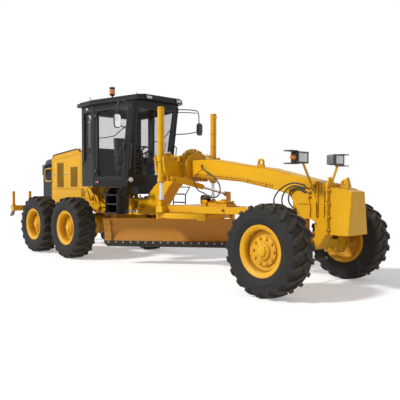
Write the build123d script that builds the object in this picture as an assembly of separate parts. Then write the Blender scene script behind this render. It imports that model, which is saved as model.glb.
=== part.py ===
"""Motor grader: an articulated road grader with a blade slung between its axles.

Millimetres. +X points forward, +Y to the driver's left, +Z up. The origin lies on the ground
below the middle of the machine. Left-hand pieces are modelled first and mirrored to the right.
"""
from build123d import *
from math import asin, atan2, cos, degrees, hypot, radians, sin, sqrt, tan
import os

# ---- stance ------------------------------------------------------------------------------
FRONT_AXLE_X = 4160
WHEELBASE = 6220
TANDEM_SPACING = 1538
TRACK = 2155
TANDEM_X = FRONT_AXLE_X - WHEELBASE
WHEEL_Y = TRACK / 2

# ---- running and stand-off gaps ------------------------------------------------------------
PIN_GAP = 0.5
SIDE_GAP = 6
SEAT_GAP = 0.3

# ---- wheels: every band of tyre and rim has the same number of flats, so that they seat -----
WHEEL_SIDES = 20
TYRE_R = 665
TYRE_W = 444
TREAD_BASE_R = 632
TREAD_HALF_W = 150
SHOULDER_R = 592
BULGE_R = 492
LUG_COUNT = 20
LUG_W = 64
LUG_SKEW = 0.62
LUG_OVERLAP = 18
LUG_CREST_Y = 75
LUG_SHOULDER_Y = 168
RIM_R = 318
RIM_W = 356
FLANGE_R = 370
FLANGE_T = 14
BARREL_WALL = 20
DISC_T = 24
FRONT_DISC_Y = 78
REAR_DISC_Y = 20
HUB_FLANGE_R = 215
HUB_R = 128
HUB_CAP_R = 78
LUG_PITCH = 360 / LUG_COUNT
# the tyre stands on the edges of two neighbouring lugs, one on each side of the tread
AXLE_Z = TYRE_R * cos(radians(LUG_PITCH / 4) - asin(LUG_W / 2 / TYRE_R))

# ---- front axle ------------------------------------------------------------------------------
AXLE_BEAM_HALF_X = 80
AXLE_BEAM_Z0 = 585
AXLE_BEAM_Z1 = 745
AXLE_PIVOT_Z = 700
AXLE_BOSS_R = 85
AXLE_BOSS_HALF_X = 105
AXLE_PIN_R = 40
LEAN_Y = 690
LEAN_Z = 630
LEAN_PIN_R = 32
LEAN_EAR_T = 34
LEAN_BAR_RISE = 205
LEAN_BAR_R = 24
LEAN_BAR_PIN_R = 14
KINGPIN_Y = 850
KINGPIN_R = 32
KINGPIN_BODY_R = 68
YOKE_HALF_Z = 122
YOKE_T = 38
SPINDLE_R = 48
STEER_ARM_X = 230
STEER_ARM_Y = 100
STEER_ARM_T = 30
TIE_ROD_R = 20
TIE_ROD_EYE_HALF_Z = 26
TIE_ROD_DROP = 84

# ---- tandem cases ------------------------------------------------------------------------------
CASE_Y0 = 585
CASE_Y1 = 780
CASE_R = 270
DRUM_R = 185
DRUM_Y1 = 880
REAR_SPINDLE_R = 78
TANDEM_PIVOT_R = 150
TANDEM_PIVOT_DEPTH = 110

# ---- rear frame -----------------------------------------------------------------------------------
RAIL_Y0 = 330
RAIL_Y1 = 410
RAIL_Z0 = 1000
RAIL_Z1 = 1230
REAR_X = -3918
ARTICULATION_X = -190
HITCH_PIN_R = 50
HITCH_LUG_R = 150
HITCH_TOP_Z = 1300
HITCH_TOP_T = 60
HITCH_BOTTOM_Z = 955
HITCH_BOTTOM_T = 60
HITCH_WALL_X = -340

# ---- engine, hood and radiator ------------------------------------------------------------------------
HOOD_X0 = -3445
HOOD_X1 = -1490
HOOD_HALF_W = 460
HOOD_Z0 = 1240
HOOD_REAR_Z = 2265
HOOD_TOP_Z = 2384
HOOD_CREST_X = -1940
HOOD_WALL = 22
LOUVRE_COUNT = 9
LOUVRE_W = 18
RADIATOR_Z1 = 2130
EXHAUST_X = -2330
EXHAUST_R = 55
EXHAUST_FLANGE_R = 95
EXHAUST_BEND_Z = 3120
EXHAUST_TURN = 150

# ---- cab ----------------------------------------------------------------------------------------------------
CAB_WALL = 55
CAB_Z0 = 1620
CAB_WAIST_Z = 2480
CAB_Z1 = 3310
CAB_REAR_X = -1400
CAB_REAR_HALF_W = 780
CAB_POST_X = -900
CAB_POST_HALF_W = 800
CAB_FRONT_X = (70, 175, 310)
CAB_FRONT_HALF_W = 585
FLOOR_T = 60
FOOTWELL_Z = 1400
FOOTWELL_HALF_W = 290
ROOF_T = 110
DOOR_GAP = 6
DOOR_X0 = -840
DOOR_Z0 = 1690
DOOR_Z1 = 3250
GLASS_T = 8
DOOR_HINGE_R = 11
DOOR_HINGE_H = 90
DOOR_HINGE_Z = (1850, 3030)
DOOR_HINGE_X = DOOR_X0 + DOOR_GAP / 2
DOOR_HINGE_Y = CAB_POST_HALF_W + 3

# ---- front frame ---------------------------------------------------------------------------------------------
NECK_HALF_W = 150
HEAD_HALF_W = 200
HEAD_X = FRONT_AXLE_X + 446
NOSE_X = HEAD_X + 339
BEAM_TOP_Z = 2057
BEAM_X0 = 1558
BEAM_BREAK_Z = 1866
NECK_BOTTOM_Z = 1776
HEAD_TOP_Z = 1636
FLANGE_PLATE_T = 30
NOSE_Z0 = 862
NOSE_REAR_Z = 1557
NOSE_FRONT_Z = 1484
BEAM_EYE_X = 3126
BEAM_EYE_Z = 1972
NOSE_EYE_X = HEAD_X + 114
NOSE_EYE_Z = 1610
SADDLE_X = 1290
SADDLE_HALF_X = 96
CRANK_T = 40
SADDLE_RING_R = 280
LOCK_PLATE_R = 355
SADDLE_RING_Z = 1935
SADDLE_RING_X1 = 1540

# ---- blade lift, drawbar and circle ------------------------------------------------------------------------------
LIFT_Y = 690
LIFT_PIVOT_Z = 2085
LIFT_TOP_Z = 3040
LIFT_GLAND_Z = 1646
LIFT_EYE_Z = 1372
BARREL_R = 62
ROD_R = 34
TRUNNION_R = 28
BALL_X = FRONT_AXLE_X - 410
BALL_Z = 950
BALL_R = 42
BALL_CUP = 62
DRAWBAR_Z0 = 1082
DRAWBAR_Z1 = 1200
CIRCLE_X = 1500
CIRCLE_R = 700
CIRCLE_BORE_R = 560
CIRCLE_Z0 = 975
CIRCLE_Z1 = 1074
GEARBOX_X0 = 2080
GEARBOX_X1 = 2440
GEARBOX_HALF_W = 130
GEARBOX_Z1 = 1280

# ---- blade ----------------------------------------------------------------------------------------------------------
BLADE_YAW = -50.8
BLADE_SETBACK = 110
BLADE_T0 = -1865
BLADE_LENGTH = 3705
EDGE_Z = 365
EDGE_H = 115
EDGE_T = 19
EDGE_CHAMFER = 70
MOLDBOARD_TOP_Z = 940
MOLDBOARD_T = 22
MOLDBOARD_SAG = 95
MOLDBOARD_LEAN = 120
RAIL_FACE_X = -96
RAIL_END = 150
ARM_Y = (-490, 470)
ARM_W = 100
TILT_Z = 510
TILT_PIN_R = 22


# ---- small makers -------------------------------------------------------------------------------------------------------
def side_plate(points, y0, y1):
    """Outline in X and Z, from y0 to y1."""
    return extrude(Plane.XZ.offset(-y1) * Polygon(*points, align=None), amount=y1 - y0, dir=(0, -1, 0))


def cross_plate(points, x0, x1):
    """Outline in Y and Z, from x0 to x1."""
    return extrude(Plane.YZ.offset(x0) * Polygon(*points, align=None), amount=x1 - x0, dir=(1, 0, 0))


def flat_plate(points, z0, z1):
    """Outline in X and Y, from z0 to z1."""
    return extrude(Plane.XY.offset(z0) * Polygon(*points, align=None), amount=z1 - z0, dir=(0, 0, 1))


def block(x0, x1, y0, y1, z0, z1):
    return Pos((x0 + x1) / 2, (y0 + y1) / 2, (z0 + z1) / 2) * Box(x1 - x0, y1 - y0, z1 - z0)


def bar(start, end, radius):
    """Round bar between two points."""
    axis = Vector(*end) - Vector(*start)
    plane = Plane(origin=start, z_dir=axis)
    return plane * Cylinder(radius, axis.length, align=(Align.CENTER, Align.CENTER, Align.MIN))


def mirrored(part):
    return mirror(part, about=Plane.XZ)


def pair(part):
    return part + mirrored(part)


def flats(stations):
    """Body of WHEEL_SIDES flats about the Y axis, through stations of (y, radius)."""
    rings = []
    for y, radius in stations:
        plane = Plane(origin=(0, y, 0), x_dir=(1, 0, 0), z_dir=(0, 1, 0))
        rings.append(plane * Rot(0, 0, 180 / WHEEL_SIDES) * RegularPolygon(radius, WHEEL_SIDES))
    return loft(rings, ruled=True)


# ---- wheels -------------------------------------------------------------------------------------------------------------------
def lug(side, turn):
    """One slanted tread lug, from past the centre line down over the shoulder."""
    half_w = TYRE_W / 2

    def crest(y):
        along = abs(LUG_SKEW * (y - LUG_CREST_Y)) + LUG_W / 2
        return sqrt(TYRE_R**2 - along**2)

    section = [
        (-LUG_OVERLAP, TREAD_BASE_R - 20),
        (-LUG_OVERLAP, crest(-LUG_OVERLAP)),
        (LUG_CREST_Y, crest(LUG_CREST_Y)),
        (LUG_SHOULDER_Y, crest(LUG_SHOULDER_Y)),
        (half_w, SHOULDER_R + 8),
        (half_w, (SHOULDER_R + BULGE_R) / 2),
        (half_w - 24, SHOULDER_R - 50),
    ]
    corners = [(LUG_SKEW * (y - LUG_CREST_Y) - LUG_W / 2, side * y, r) for y, r in section]
    face = Face(Wire.make_polygon(corners, close=True))
    return Rot(0, turn, 0) * Solid.extrude(face, Vector(LUG_W, 0, 0))


def make_tyre():
    half_w = TYRE_W / 2
    edge = half_w - 16
    body = flats([
        (-half_w, BULGE_R),
        (-edge, SHOULDER_R),
        (-TREAD_HALF_W, TREAD_BASE_R),
        (TREAD_HALF_W, TREAD_BASE_R),
        (edge, SHOULDER_R),
        (half_w, BULGE_R),
    ])
    lugs = []
    for k in range(LUG_COUNT):
        lugs.append(lug(1, 180 + (k + 0.25) * LUG_PITCH))
        lugs.append(lug(-1, 180 + (k - 0.25) * LUG_PITCH))
    body = body + lugs
    body -= flats([(-half_w - 1, RIM_R), (half_w + 1, RIM_R)])
    for side in (-1, 1):
        body -= flats([
            (side * RIM_W / 2, FLANGE_R + 6),
            (side * (half_w + 1), BULGE_R - 20),
        ])
    return body


def make_rim(disc_y, hub_out, spindle_r):
    """Right-hand wheel rim with its disc and hub; its outside faces -Y."""
    half_w = RIM_W / 2
    lip = half_w + FLANGE_T
    rim = flats([(-lip, FLANGE_R), (-half_w, FLANGE_R)])
    rim += flats([(-half_w, RIM_R), (half_w, RIM_R)])
    rim += flats([(half_w, FLANGE_R), (lip, FLANGE_R)])
    inner_r = RIM_R - BARREL_WALL
    rim -= flats([(-lip - 1, FLANGE_R - 34), (-half_w, inner_r), (-disc_y, inner_r - 14)])
    rim -= flats([(lip + 1, FLANGE_R - 34), (half_w, inner_r), (-disc_y + DISC_T, inner_r - 14)])
    rim += flats([(-disc_y - 26, HUB_FLANGE_R - 12), (-disc_y, HUB_FLANGE_R)])
    rim += flats([(-hub_out, HUB_R - 14), (-disc_y, HUB_R)])
    rim += flats([(-hub_out - 26, HUB_CAP_R - 10), (-hub_out, HUB_CAP_R)])
    rim += flats([(-disc_y + DISC_T, spindle_r + 46), (60, spindle_r + 34)])
    bore_y0 = -disc_y + 4
    rim -= bar((0, bore_y0, 0), (0, 61, 0), spindle_r + PIN_GAP)
    return rim


# ---- front axle -----------------------------------------------------------------------------------------------------------------
def make_front_axle():
    beam_y = LEAN_Y - 74
    beam = cross_plate(
        [
            (-beam_y, AXLE_BEAM_Z0),
            (beam_y, AXLE_BEAM_Z0),
            (beam_y, AXLE_BEAM_Z1 - 40),
            (160, AXLE_BEAM_Z1),
            (-160, AXLE_BEAM_Z1),
            (-beam_y, AXLE_BEAM_Z1 - 40),
        ],
        FRONT_AXLE_X - AXLE_BEAM_HALF_X,
        FRONT_AXLE_X + AXLE_BEAM_HALF_X,
    )
    boss_x0 = FRONT_AXLE_X - AXLE_BOSS_HALF_X
    boss_x1 = FRONT_AXLE_X + AXLE_BOSS_HALF_X
    beam += bar((boss_x0, 0, AXLE_PIVOT_Z), (boss_x1, 0, AXLE_PIVOT_Z), AXLE_BOSS_R)
    beam -= bar((boss_x0 - 1, 0, AXLE_PIVOT_Z), (boss_x1 + 1, 0, AXLE_PIVOT_Z), AXLE_PIN_R + PIN_GAP)
    end = bar(
        (FRONT_AXLE_X - AXLE_BEAM_HALF_X + LEAN_EAR_T + SIDE_GAP, LEAN_Y, LEAN_Z),
        (FRONT_AXLE_X + AXLE_BEAM_HALF_X - LEAN_EAR_T - SIDE_GAP, LEAN_Y, LEAN_Z),
        LEAN_PIN_R + 16,
    )
    tongue_x = AXLE_BEAM_HALF_X - LEAN_EAR_T - SIDE_GAP
    end += block(
        FRONT_AXLE_X - tongue_x, FRONT_AXLE_X + tongue_x, beam_y, LEAN_Y, LEAN_Z - 44, LEAN_Z + 44
    )
    end += bar(
        (FRONT_AXLE_X - AXLE_BEAM_HALF_X, LEAN_Y, LEAN_Z),
        (FRONT_AXLE_X + AXLE_BEAM_HALF_X, LEAN_Y, LEAN_Z),
        LEAN_PIN_R,
    )
    return beam + pair(end)


def make_lean_bracket():
    """Left-hand bracket: hinged on the axle's end below, with a yoke round the kingpin."""
    ear_profile = [
        (LEAN_Y - 46, LEAN_Z),
        (LEAN_Y, LEAN_Z - 48),
        (KINGPIN_Y - 90, AXLE_Z - YOKE_HALF_Z),
        (KINGPIN_Y - 90, AXLE_Z + YOKE_HALF_Z),
        (LEAN_Y + 34, LEAN_Z + LEAN_BAR_RISE + 34),
        (LEAN_Y - 34, LEAN_Z + LEAN_BAR_RISE + 34),
    ]
    ear_x0 = AXLE_BEAM_HALF_X - LEAN_EAR_T
    bracket = cross_plate(ear_profile, FRONT_AXLE_X + ear_x0, FRONT_AXLE_X + AXLE_BEAM_HALF_X)
    bracket += cross_plate(ear_profile, FRONT_AXLE_X - AXLE_BEAM_HALF_X, FRONT_AXLE_X - ear_x0)
    yoke_y0 = KINGPIN_Y - 100
    yoke_y1 = KINGPIN_Y - KINGPIN_BODY_R - SIDE_GAP
    bracket += block(
        FRONT_AXLE_X - AXLE_BEAM_HALF_X,
        FRONT_AXLE_X + AXLE_BEAM_HALF_X,
        yoke_y0,
        yoke_y1,
        AXLE_Z - YOKE_HALF_Z - YOKE_T,
        AXLE_Z + YOKE_HALF_Z + YOKE_T,
    )
    for z0 in (AXLE_Z - YOKE_HALF_Z - YOKE_T, AXLE_Z + YOKE_HALF_Z):
        arm = block(FRONT_AXLE_X - 70, FRONT_AXLE_X + 70, yoke_y0, KINGPIN_Y, z0, z0 + YOKE_T)
        arm += bar((FRONT_AXLE_X, KINGPIN_Y, z0), (FRONT_AXLE_X, KINGPIN_Y, z0 + YOKE_T), 70)
        arm -= bar(
            (FRONT_AXLE_X, KINGPIN_Y, z0 - 1),
            (FRONT_AXLE_X, KINGPIN_Y, z0 + YOKE_T + 1),
            KINGPIN_R + PIN_GAP,
        )
        bracket += arm
    pin_z = LEAN_Z
    bracket -= bar(
        (FRONT_AXLE_X - 90, LEAN_Y, pin_z), (FRONT_AXLE_X + 90, LEAN_Y, pin_z), LEAN_PIN_R + PIN_GAP
    )
    bracket -= bar(
        (FRONT_AXLE_X - 90, LEAN_Y, pin_z + LEAN_BAR_RISE),
        (FRONT_AXLE_X + 90, LEAN_Y, pin_z + LEAN_BAR_RISE),
        LEAN_BAR_PIN_R + PIN_GAP,
    )
    return bracket


def make_lean_bar():
    z = LEAN_Z + LEAN_BAR_RISE
    reach = AXLE_BEAM_HALF_X - LEAN_EAR_T - SIDE_GAP
    rod = bar((FRONT_AXLE_X, -LEAN_Y, z), (FRONT_AXLE_X, LEAN_Y, z), LEAN_BAR_R)
    for y in (-LEAN_Y, LEAN_Y):
        rod += bar((FRONT_AXLE_X - reach, y, z), (FRONT_AXLE_X + reach, y, z), LEAN_BAR_R + 8)
        rod += bar(
            (FRONT_AXLE_X - AXLE_BEAM_HALF_X, y, z), (FRONT_AXLE_X + AXLE_BEAM_HALF_X, y, z), LEAN_BAR_PIN_R
        )
    return rod


def make_knuckle():
    """Left-hand knuckle: kingpin, spindle for the wheel and steering arm behind."""
    x = FRONT_AXLE_X
    reach = YOKE_HALF_Z + YOKE_T
    body_z = YOKE_HALF_Z - SIDE_GAP
    knuckle = bar((x, KINGPIN_Y, AXLE_Z - body_z), (x, KINGPIN_Y, AXLE_Z + body_z), KINGPIN_BODY_R)
    knuckle += bar(
        (x, KINGPIN_Y, AXLE_Z - reach - STEER_ARM_T), (x, KINGPIN_Y, AXLE_Z + reach), KINGPIN_R
    )
    flange_y = KINGPIN_Y + KINGPIN_BODY_R
    knuckle += bar((x, KINGPIN_Y + 20, AXLE_Z), (x, flange_y + 30, AXLE_Z), 92)
    spindle_end = WHEEL_Y + FRONT_DISC_Y - 14
    knuckle += bar((x, flange_y, AXLE_Z), (x, spindle_end, AXLE_Z), SPINDLE_R)
    arm_z1 = AXLE_Z - reach - SIDE_GAP
    arm_z0 = arm_z1 - STEER_ARM_T
    tip = (x - STEER_ARM_X, KINGPIN_Y - STEER_ARM_Y)
    arm = flat_plate(
        [(x + 30, KINGPIN_Y + 42), (x - 20, KINGPIN_Y - 44), (tip[0], tip[1] - 30), (tip[0], tip[1] + 30)],
        arm_z0,
        arm_z1,
    )
    arm += bar((tip[0], tip[1], arm_z0), (tip[0], tip[1], arm_z1), 30)
    return knuckle + arm


def make_tie_rod():
    reach = YOKE_HALF_Z + YOKE_T
    z = AXLE_Z - reach - SIDE_GAP - STEER_ARM_T - TIE_ROD_DROP - TIE_ROD_EYE_HALF_Z
    x = FRONT_AXLE_X - STEER_ARM_X
    y = KINGPIN_Y - STEER_ARM_Y
    rod = bar((x, -y, z), (x, y, z), TIE_ROD_R)
    for side in (-1, 1):
        rod += bar((x, side * y, z - TIE_ROD_EYE_HALF_Z), (x, side * y, z + TIE_ROD_EYE_HALF_Z), 32)
    return rod


# ---- tandem ---------------------------------------------------------------------------------------------------------------------------
def make_tandem_case():
    """Left-hand chain case with its two brake drums and its pivot socket."""
    profile = Plane.XZ.offset(-CASE_Y1) * Pos(TANDEM_X, AXLE_Z) * SlotCenterToCenter(
        TANDEM_SPACING, 2 * CASE_R
    )
    case = extrude(profile, amount=CASE_Y1 - CASE_Y0)
    case -= bar(
        (TANDEM_X, CASE_Y0 - 1, AXLE_Z),
        (TANDEM_X, CASE_Y0 + TANDEM_PIVOT_DEPTH + SIDE_GAP, AXLE_Z),
        TANDEM_PIVOT_R + PIN_GAP,
    )
    for side in (-1, 1):
        x = TANDEM_X + side * TANDEM_SPACING / 2
        case += bar((x, CASE_Y1, AXLE_Z), (x, DRUM_Y1, AXLE_Z), DRUM_R)
        case += bar((x, DRUM_Y1, AXLE_Z), (x, WHEEL_Y + REAR_DISC_Y - 14, AXLE_Z), REAR_SPINDLE_R)
    return case


# ---- rear frame ---------------------------------------------------------------------------------------------------------------------------
ARTIC_BARREL_PIN = (-960, 490, 1050)
ARTIC_ROD_EYE = (100, 380, 1050)
RIPPER_HINGE = (-4010, 0, 860)
RIPPER_BARREL_PIN = (-3985, 0, 1330)
RIPPER_ROD_EYE = (-4520, 0, 1120)
ARTIC_ROD_R = 24
RIPPER_ROD_R = 22


def make_rear_frame():
    rail = side_plate(
        [
            (REAR_X, RAIL_Z0),
            (-940, RAIL_Z0),
            (-940, HITCH_TOP_Z),
            (-1380, HITCH_TOP_Z),
            (-1470, RAIL_Z1),
            (REAR_X, RAIL_Z1),
        ],
        RAIL_Y0,
        RAIL_Y1,
    )
    frame = pair(rail)
    crossmembers = (
        # x0, x1, z0, z1
        (REAR_X, REAR_X + 60, 860, RAIL_Z1),
        (-2800, -2680, RAIL_Z0, 1060),
        (-1560, -1440, RAIL_Z0, 1200),
    )
    for x0, x1, z0, z1 in crossmembers:
        frame += block(x0, x1, -RAIL_Y1, RAIL_Y1, z0, z1)
    frame += block(REAR_X - 30, REAR_X, -560, 560, 860, 1200)
    # hitch: the rails close in to a block that carries the two lugs of the articulation pin
    hitch_plan = [
        (-1040, RAIL_Y1), (-940, RAIL_Y1), (-880, 320), (HITCH_WALL_X, 190),
        (HITCH_WALL_X, -190), (-880, -320), (-940, -RAIL_Y1), (-1040, -RAIL_Y1),
    ]
    hitch_side = [
        (-1040, RAIL_Z0), (-900, RAIL_Z0), (-640, HITCH_BOTTOM_Z), (HITCH_WALL_X, HITCH_BOTTOM_Z),
        (HITCH_WALL_X, HITCH_TOP_Z), (-1040, HITCH_TOP_Z),
    ]
    hitch = flat_plate(hitch_plan, HITCH_BOTTOM_Z, HITCH_TOP_Z)
    frame += hitch & side_plate(hitch_side, -RAIL_Y1, RAIL_Y1)
    for z0, thick in ((HITCH_TOP_Z - HITCH_TOP_T, HITCH_TOP_T), (HITCH_BOTTOM_Z, HITCH_BOTTOM_T)):
        frame += block(-640, ARTICULATION_X, -HITCH_LUG_R, HITCH_LUG_R, z0, z0 + thick)
        frame += bar((ARTICULATION_X, 0, z0), (ARTICULATION_X, 0, z0 + thick), HITCH_LUG_R)
    frame += bar((ARTICULATION_X, 0, HITCH_BOTTOM_Z), (ARTICULATION_X, 0, HITCH_TOP_Z), HITCH_PIN_R)
    # cab mounts
    for x, y in ((-1250, 370), (-760, 240)):
        frame += pair(bar((x, y, HITCH_TOP_Z), (x, y, CAB_Z0 - FLOOR_T), 46))
    # ears for the articulation cylinders
    px, py, pz = ARTIC_BARREL_PIN
    ear = block(px - 50, px + 50, RAIL_Y1, py, pz + 52, pz + 74)
    ear += bar((px, py, pz + 52), (px, py, pz + 74), 50)
    lower = block(px - 50, px + 50, RAIL_Y1, py, pz - 74, pz - 52)
    lower += bar((px, py, pz - 74), (px, py, pz - 52), 50)
    frame += pair(ear + lower + bar((px, py, pz - 74), (px, py, pz + 74), 20))
    # pierced side brackets that carry the rear corners of the cab
    bracket = side_plate(
        [(-1655, 1525), (-1440, 1525), (-1316, 1475), (-1210, 1390), (-1000, 1215), (-750, 1150), (-750, 1118),
         (-1030, 1118), (-1100, 1000), (-1180, 975), (-1414, 1052), (-1590, 1164)],
        548, 575,
    )
    bracket -= bar((-1270, 540, 1290), (-1270, 580, 1290), 60)
    bracket += block(-1470, -1200, RAIL_Y1, 548, 1130, 1190)
    bracket += side_plate([(-1655, 1525), (-1440, 1525), (-1440, 1500), (-1655, 1500)], HOOD_HALF_W + 8, 548)
    bracket += block(-1600, -1210, HOOD_HALF_W + 8, 548, 1130, 1160)
    frame += pair(bracket)
    # ripper mounting: two side cheeks and a mast for its cylinder
    hx, _, hz = RIPPER_HINGE
    cheek = side_plate(
        [(REAR_X - 30, hz - 70), (hx, hz - 70), (hx - 60, hz), (hx, hz + 70), (REAR_X - 30, 1100)], 300, 330
    )
    cheek += bar((hx, 270, hz), (hx, 330, hz), 24)
    frame += pair(cheek)
    mx, _, mz = RIPPER_BARREL_PIN
    mast = side_plate([(REAR_X - 30, 1000), (mx - 50, mz - 40), (mx - 50, mz + 50), (REAR_X - 30, mz + 60)], 60, 84)
    mast += block(REAR_X - 30, REAR_X, 60, 84, 1000, mz + 60)
    frame += pair(mast) + bar((mx, -84, mz), (mx, 84, mz), 18)
    # rear axle housing, hung below the rails on two saddles
    axle = bar(
        (TANDEM_X, -CASE_Y0 - TANDEM_PIVOT_DEPTH, AXLE_Z),
        (TANDEM_X, CASE_Y0 + TANDEM_PIVOT_DEPTH, AXLE_Z),
        TANDEM_PIVOT_R,
    )
    axle += Pos(TANDEM_X, 0, AXLE_Z) * Rot(90, 0, 0) * Cylinder(245, 300)
    axle += pair(block(TANDEM_X - 130, TANDEM_X + 130, RAIL_Y0, RAIL_Y1, AXLE_Z + 60, RAIL_Z0))
    return frame + axle


def make_engine():
    engine = block(-3250, -1960, -310, 310, RAIL_Z0 + 70, 1950)
    engine += pair(block(-2650, -2550, 310, RAIL_Y0, RAIL_Z0 + 40, RAIL_Z1 - 40))
    return engine


def hood_outline(inset):
    return [
        (HOOD_X0 + inset, HOOD_Z0),
        (HOOD_X1 - inset, HOOD_Z0),
        (HOOD_X1 - inset, HOOD_TOP_Z - inset),
        (HOOD_CREST_X, HOOD_TOP_Z - inset),
        (HOOD_X0 + inset, HOOD_REAR_Z - inset),
    ]


def make_hood():
    hood = side_plate(hood_outline(0), -HOOD_HALF_W, HOOD_HALF_W)
    inner = side_plate(
        [(x, z if z > HOOD_Z0 else z - 1) for x, z in hood_outline(HOOD_WALL)],
        -HOOD_HALF_W + HOOD_WALL,
        HOOD_HALF_W - HOOD_WALL,
    )
    hood -= inner
    for start_x, z0, z1 in ((-3150, 1540, 2150), (-2480, 1550, 2030)):
        for k in range(LOUVRE_COUNT):
            x = start_x + k * 2 * LOUVRE_W
            hood -= pair(block(x, x + LOUVRE_W, HOOD_HALF_W - HOOD_WALL - 1, HOOD_HALF_W + 1, z0, z1))
    # skirt below the side doors, arched over the middle wheel
    skirt = side_plate(
        [(HOOD_X0, HOOD_Z0 + 4), (HOOD_X0, 1110), (-3100, 1110), (-2950, 1185), (-2700, 1215), (-2300, 1190),
         (-2000, 1120), (-1700, 1120), (-1700, HOOD_Z0 + 4)],
        HOOD_HALF_W - HOOD_WALL, HOOD_HALF_W,
    )
    hood += pair(skirt)
    # dark coaming along the top, one bar on each side
    hood += pair(side_plate(
        [(HOOD_X0 + 20, HOOD_REAR_Z - 6), (HOOD_X0 + 20, HOOD_REAR_Z + 90), (-2120, HOOD_TOP_Z + 84),
         (-2120, HOOD_TOP_Z - 40)],
        HOOD_HALF_W - 70, HOOD_HALF_W - 30,
    ) - side_plate(hood_outline(2), -HOOD_HALF_W, HOOD_HALF_W))
    return hood


def make_radiator_guard():
    half_w = HOOD_HALF_W
    guard = cross_plate(
        [(-half_w, RAIL_Z1), (half_w, RAIL_Z1), (half_w, RADIATOR_Z1 - 90), (half_w - 90, RADIATOR_Z1),
         (-half_w + 90, RADIATOR_Z1), (-half_w, RADIATOR_Z1 - 90)],
        REAR_X,
        HOOD_X0 - SEAT_GAP,
    )
    guard -= block(REAR_X - 1, REAR_X + 60, -half_w + 60, half_w - 60, RAIL_Z1 + 60, RADIATOR_Z1 - 110)
    for k in range(9):
        z = RAIL_Z1 + 110 + k * 80
        guard += block(REAR_X + 10, REAR_X + 40, -half_w + 60, half_w - 60, z, z + 24)
    # tail lamp housings and grab handles on both sides
    guard += pair(block(REAR_X + 4, REAR_X + 170, half_w - 20, half_w + 30, 1860, 2100))
    handle = bar((REAR_X + 230, half_w + 45, 1700), (REAR_X + 230, half_w + 45, 1990), 13)
    for z in (1700, 1990):
        handle += Pos(REAR_X + 230, half_w + 45, z) * Sphere(13)
        handle += bar((REAR_X + 230, half_w + 45, z), (REAR_X + 230, half_w - 10, z), 12)
    return guard + pair(handle)


def make_exhaust():
    x = EXHAUST_X
    stack = bar((x, 0, HOOD_REAR_Z), (x, 0, HOOD_TOP_Z + 30), EXHAUST_FLANGE_R)
    stack += bar((x, 0, HOOD_REAR_Z), (x, 0, EXHAUST_BEND_Z), EXHAUST_R)
    stack += Pos(x, 0, EXHAUST_BEND_Z) * Sphere(EXHAUST_R)
    stack += bar((x, 0, EXHAUST_BEND_Z), (x - EXHAUST_TURN, 0, EXHAUST_BEND_Z + EXHAUST_TURN), EXHAUST_R)
    stack -= side_plate(hood_outline(-SEAT_GAP), -HOOD_HALF_W, HOOD_HALF_W)
    return stack


# ---- cab ---------------------------------------------------------------------------------------------------------------------------------------
def cab_plan(front_x, inset):
    rear = CAB_REAR_X + inset
    front = front_x - inset
    slope = (CAB_POST_HALF_W - CAB_FRONT_HALF_W) / (front_x - CAB_POST_X)
    front_half_w = CAB_FRONT_HALF_W - inset / cos(atan2(slope, 1)) + slope * inset
    return [
        (rear, -CAB_REAR_HALF_W + inset),
        (CAB_POST_X, -CAB_POST_HALF_W + inset),
        (front, -front_half_w),
        (front, front_half_w),
        (CAB_POST_X, CAB_POST_HALF_W - inset),
        (rear, CAB_REAR_HALF_W - inset),
    ]


def cab_hull(inset, z_grow=0):
    """The cab's six-sided body through sill, waist and header."""
    levels = (CAB_Z0 - z_grow, CAB_WAIST_Z, CAB_Z1 + z_grow)
    return loft(
        [Plane.XY.offset(z) * Polygon(*cab_plan(x, inset), align=None) for z, x in zip(levels, CAB_FRONT_X)],
        ruled=True,
    )


def front_post_x(z):
    """Forward face of the cab at height z."""
    x0, x1, x2 = CAB_FRONT_X
    if z < CAB_WAIST_Z:
        return x0 + (x1 - x0) * (z - CAB_Z0) / (CAB_WAIST_Z - CAB_Z0)
    return x1 + (x2 - x1) * (z - CAB_WAIST_Z) / (CAB_Z1 - CAB_WAIST_Z)


def door_outline(inset):
    """Door edge in X and Z; its front edge follows the front post."""
    post = 75
    return [
        (DOOR_X0 + inset, DOOR_Z0 + inset),
        (front_post_x(DOOR_Z0) - post - inset, DOOR_Z0 + inset),
        (front_post_x(CAB_WAIST_Z) - post - inset, CAB_WAIST_Z),
        (front_post_x(DOOR_Z1) - post - inset, DOOR_Z1 - inset),
        (DOOR_X0 + inset, DOOR_Z1 - inset),
    ]


def quarter_outline(inset):
    """Rear quarter window in X and Z."""
    return [
        (CAB_REAR_X + 90 + inset, 2060 + inset),
        (CAB_POST_X - 60 - inset, 2250 + inset),
        (CAB_POST_X - 60 - inset, 3190 - inset),
        (CAB_REAR_X + 90 + inset, 3190 - inset),
    ]


def cab_walls():
    return cab_hull(0) - cab_hull(CAB_WALL, 1)


def make_cab_frame():
    walls = cab_walls()
    walls -= side_plate(door_outline(0), -1000, 1000)
    walls -= side_plate(quarter_outline(0), -1000, 1000)
    walls -= cross_plate(windscreen_outline(0), 0, 400)
    walls -= cross_plate(rear_window_outline(0), -1500, -1300)
    for z in DOOR_HINGE_Z:
        for z0 in (z - DOOR_HINGE_H / 2 - SEAT_GAP, z + DOOR_HINGE_H + SEAT_GAP):
            walls += pair(door_hinge_leaf(-1, z0, DOOR_HINGE_H / 2))
    return walls


def door_hinge_leaf(side, z0, height):
    """Left-hand hinge knuckle with its leaf: side 1 reaches forward to the door, -1 to the frame."""
    x, y = DOOR_HINGE_X, DOOR_HINGE_Y
    knuckle = bar((x, y, z0), (x, y, z0 + height), DOOR_HINGE_R)
    root, tip = x + side * (DOOR_GAP / 2 + 4), x + side * 60
    knuckle += block(min(x, tip), max(x, tip), y - 7, y + 7, z0, z0 + height)
    return knuckle + block(min(root, tip), max(root, tip), y - 40, y, z0, z0 + height)


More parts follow.
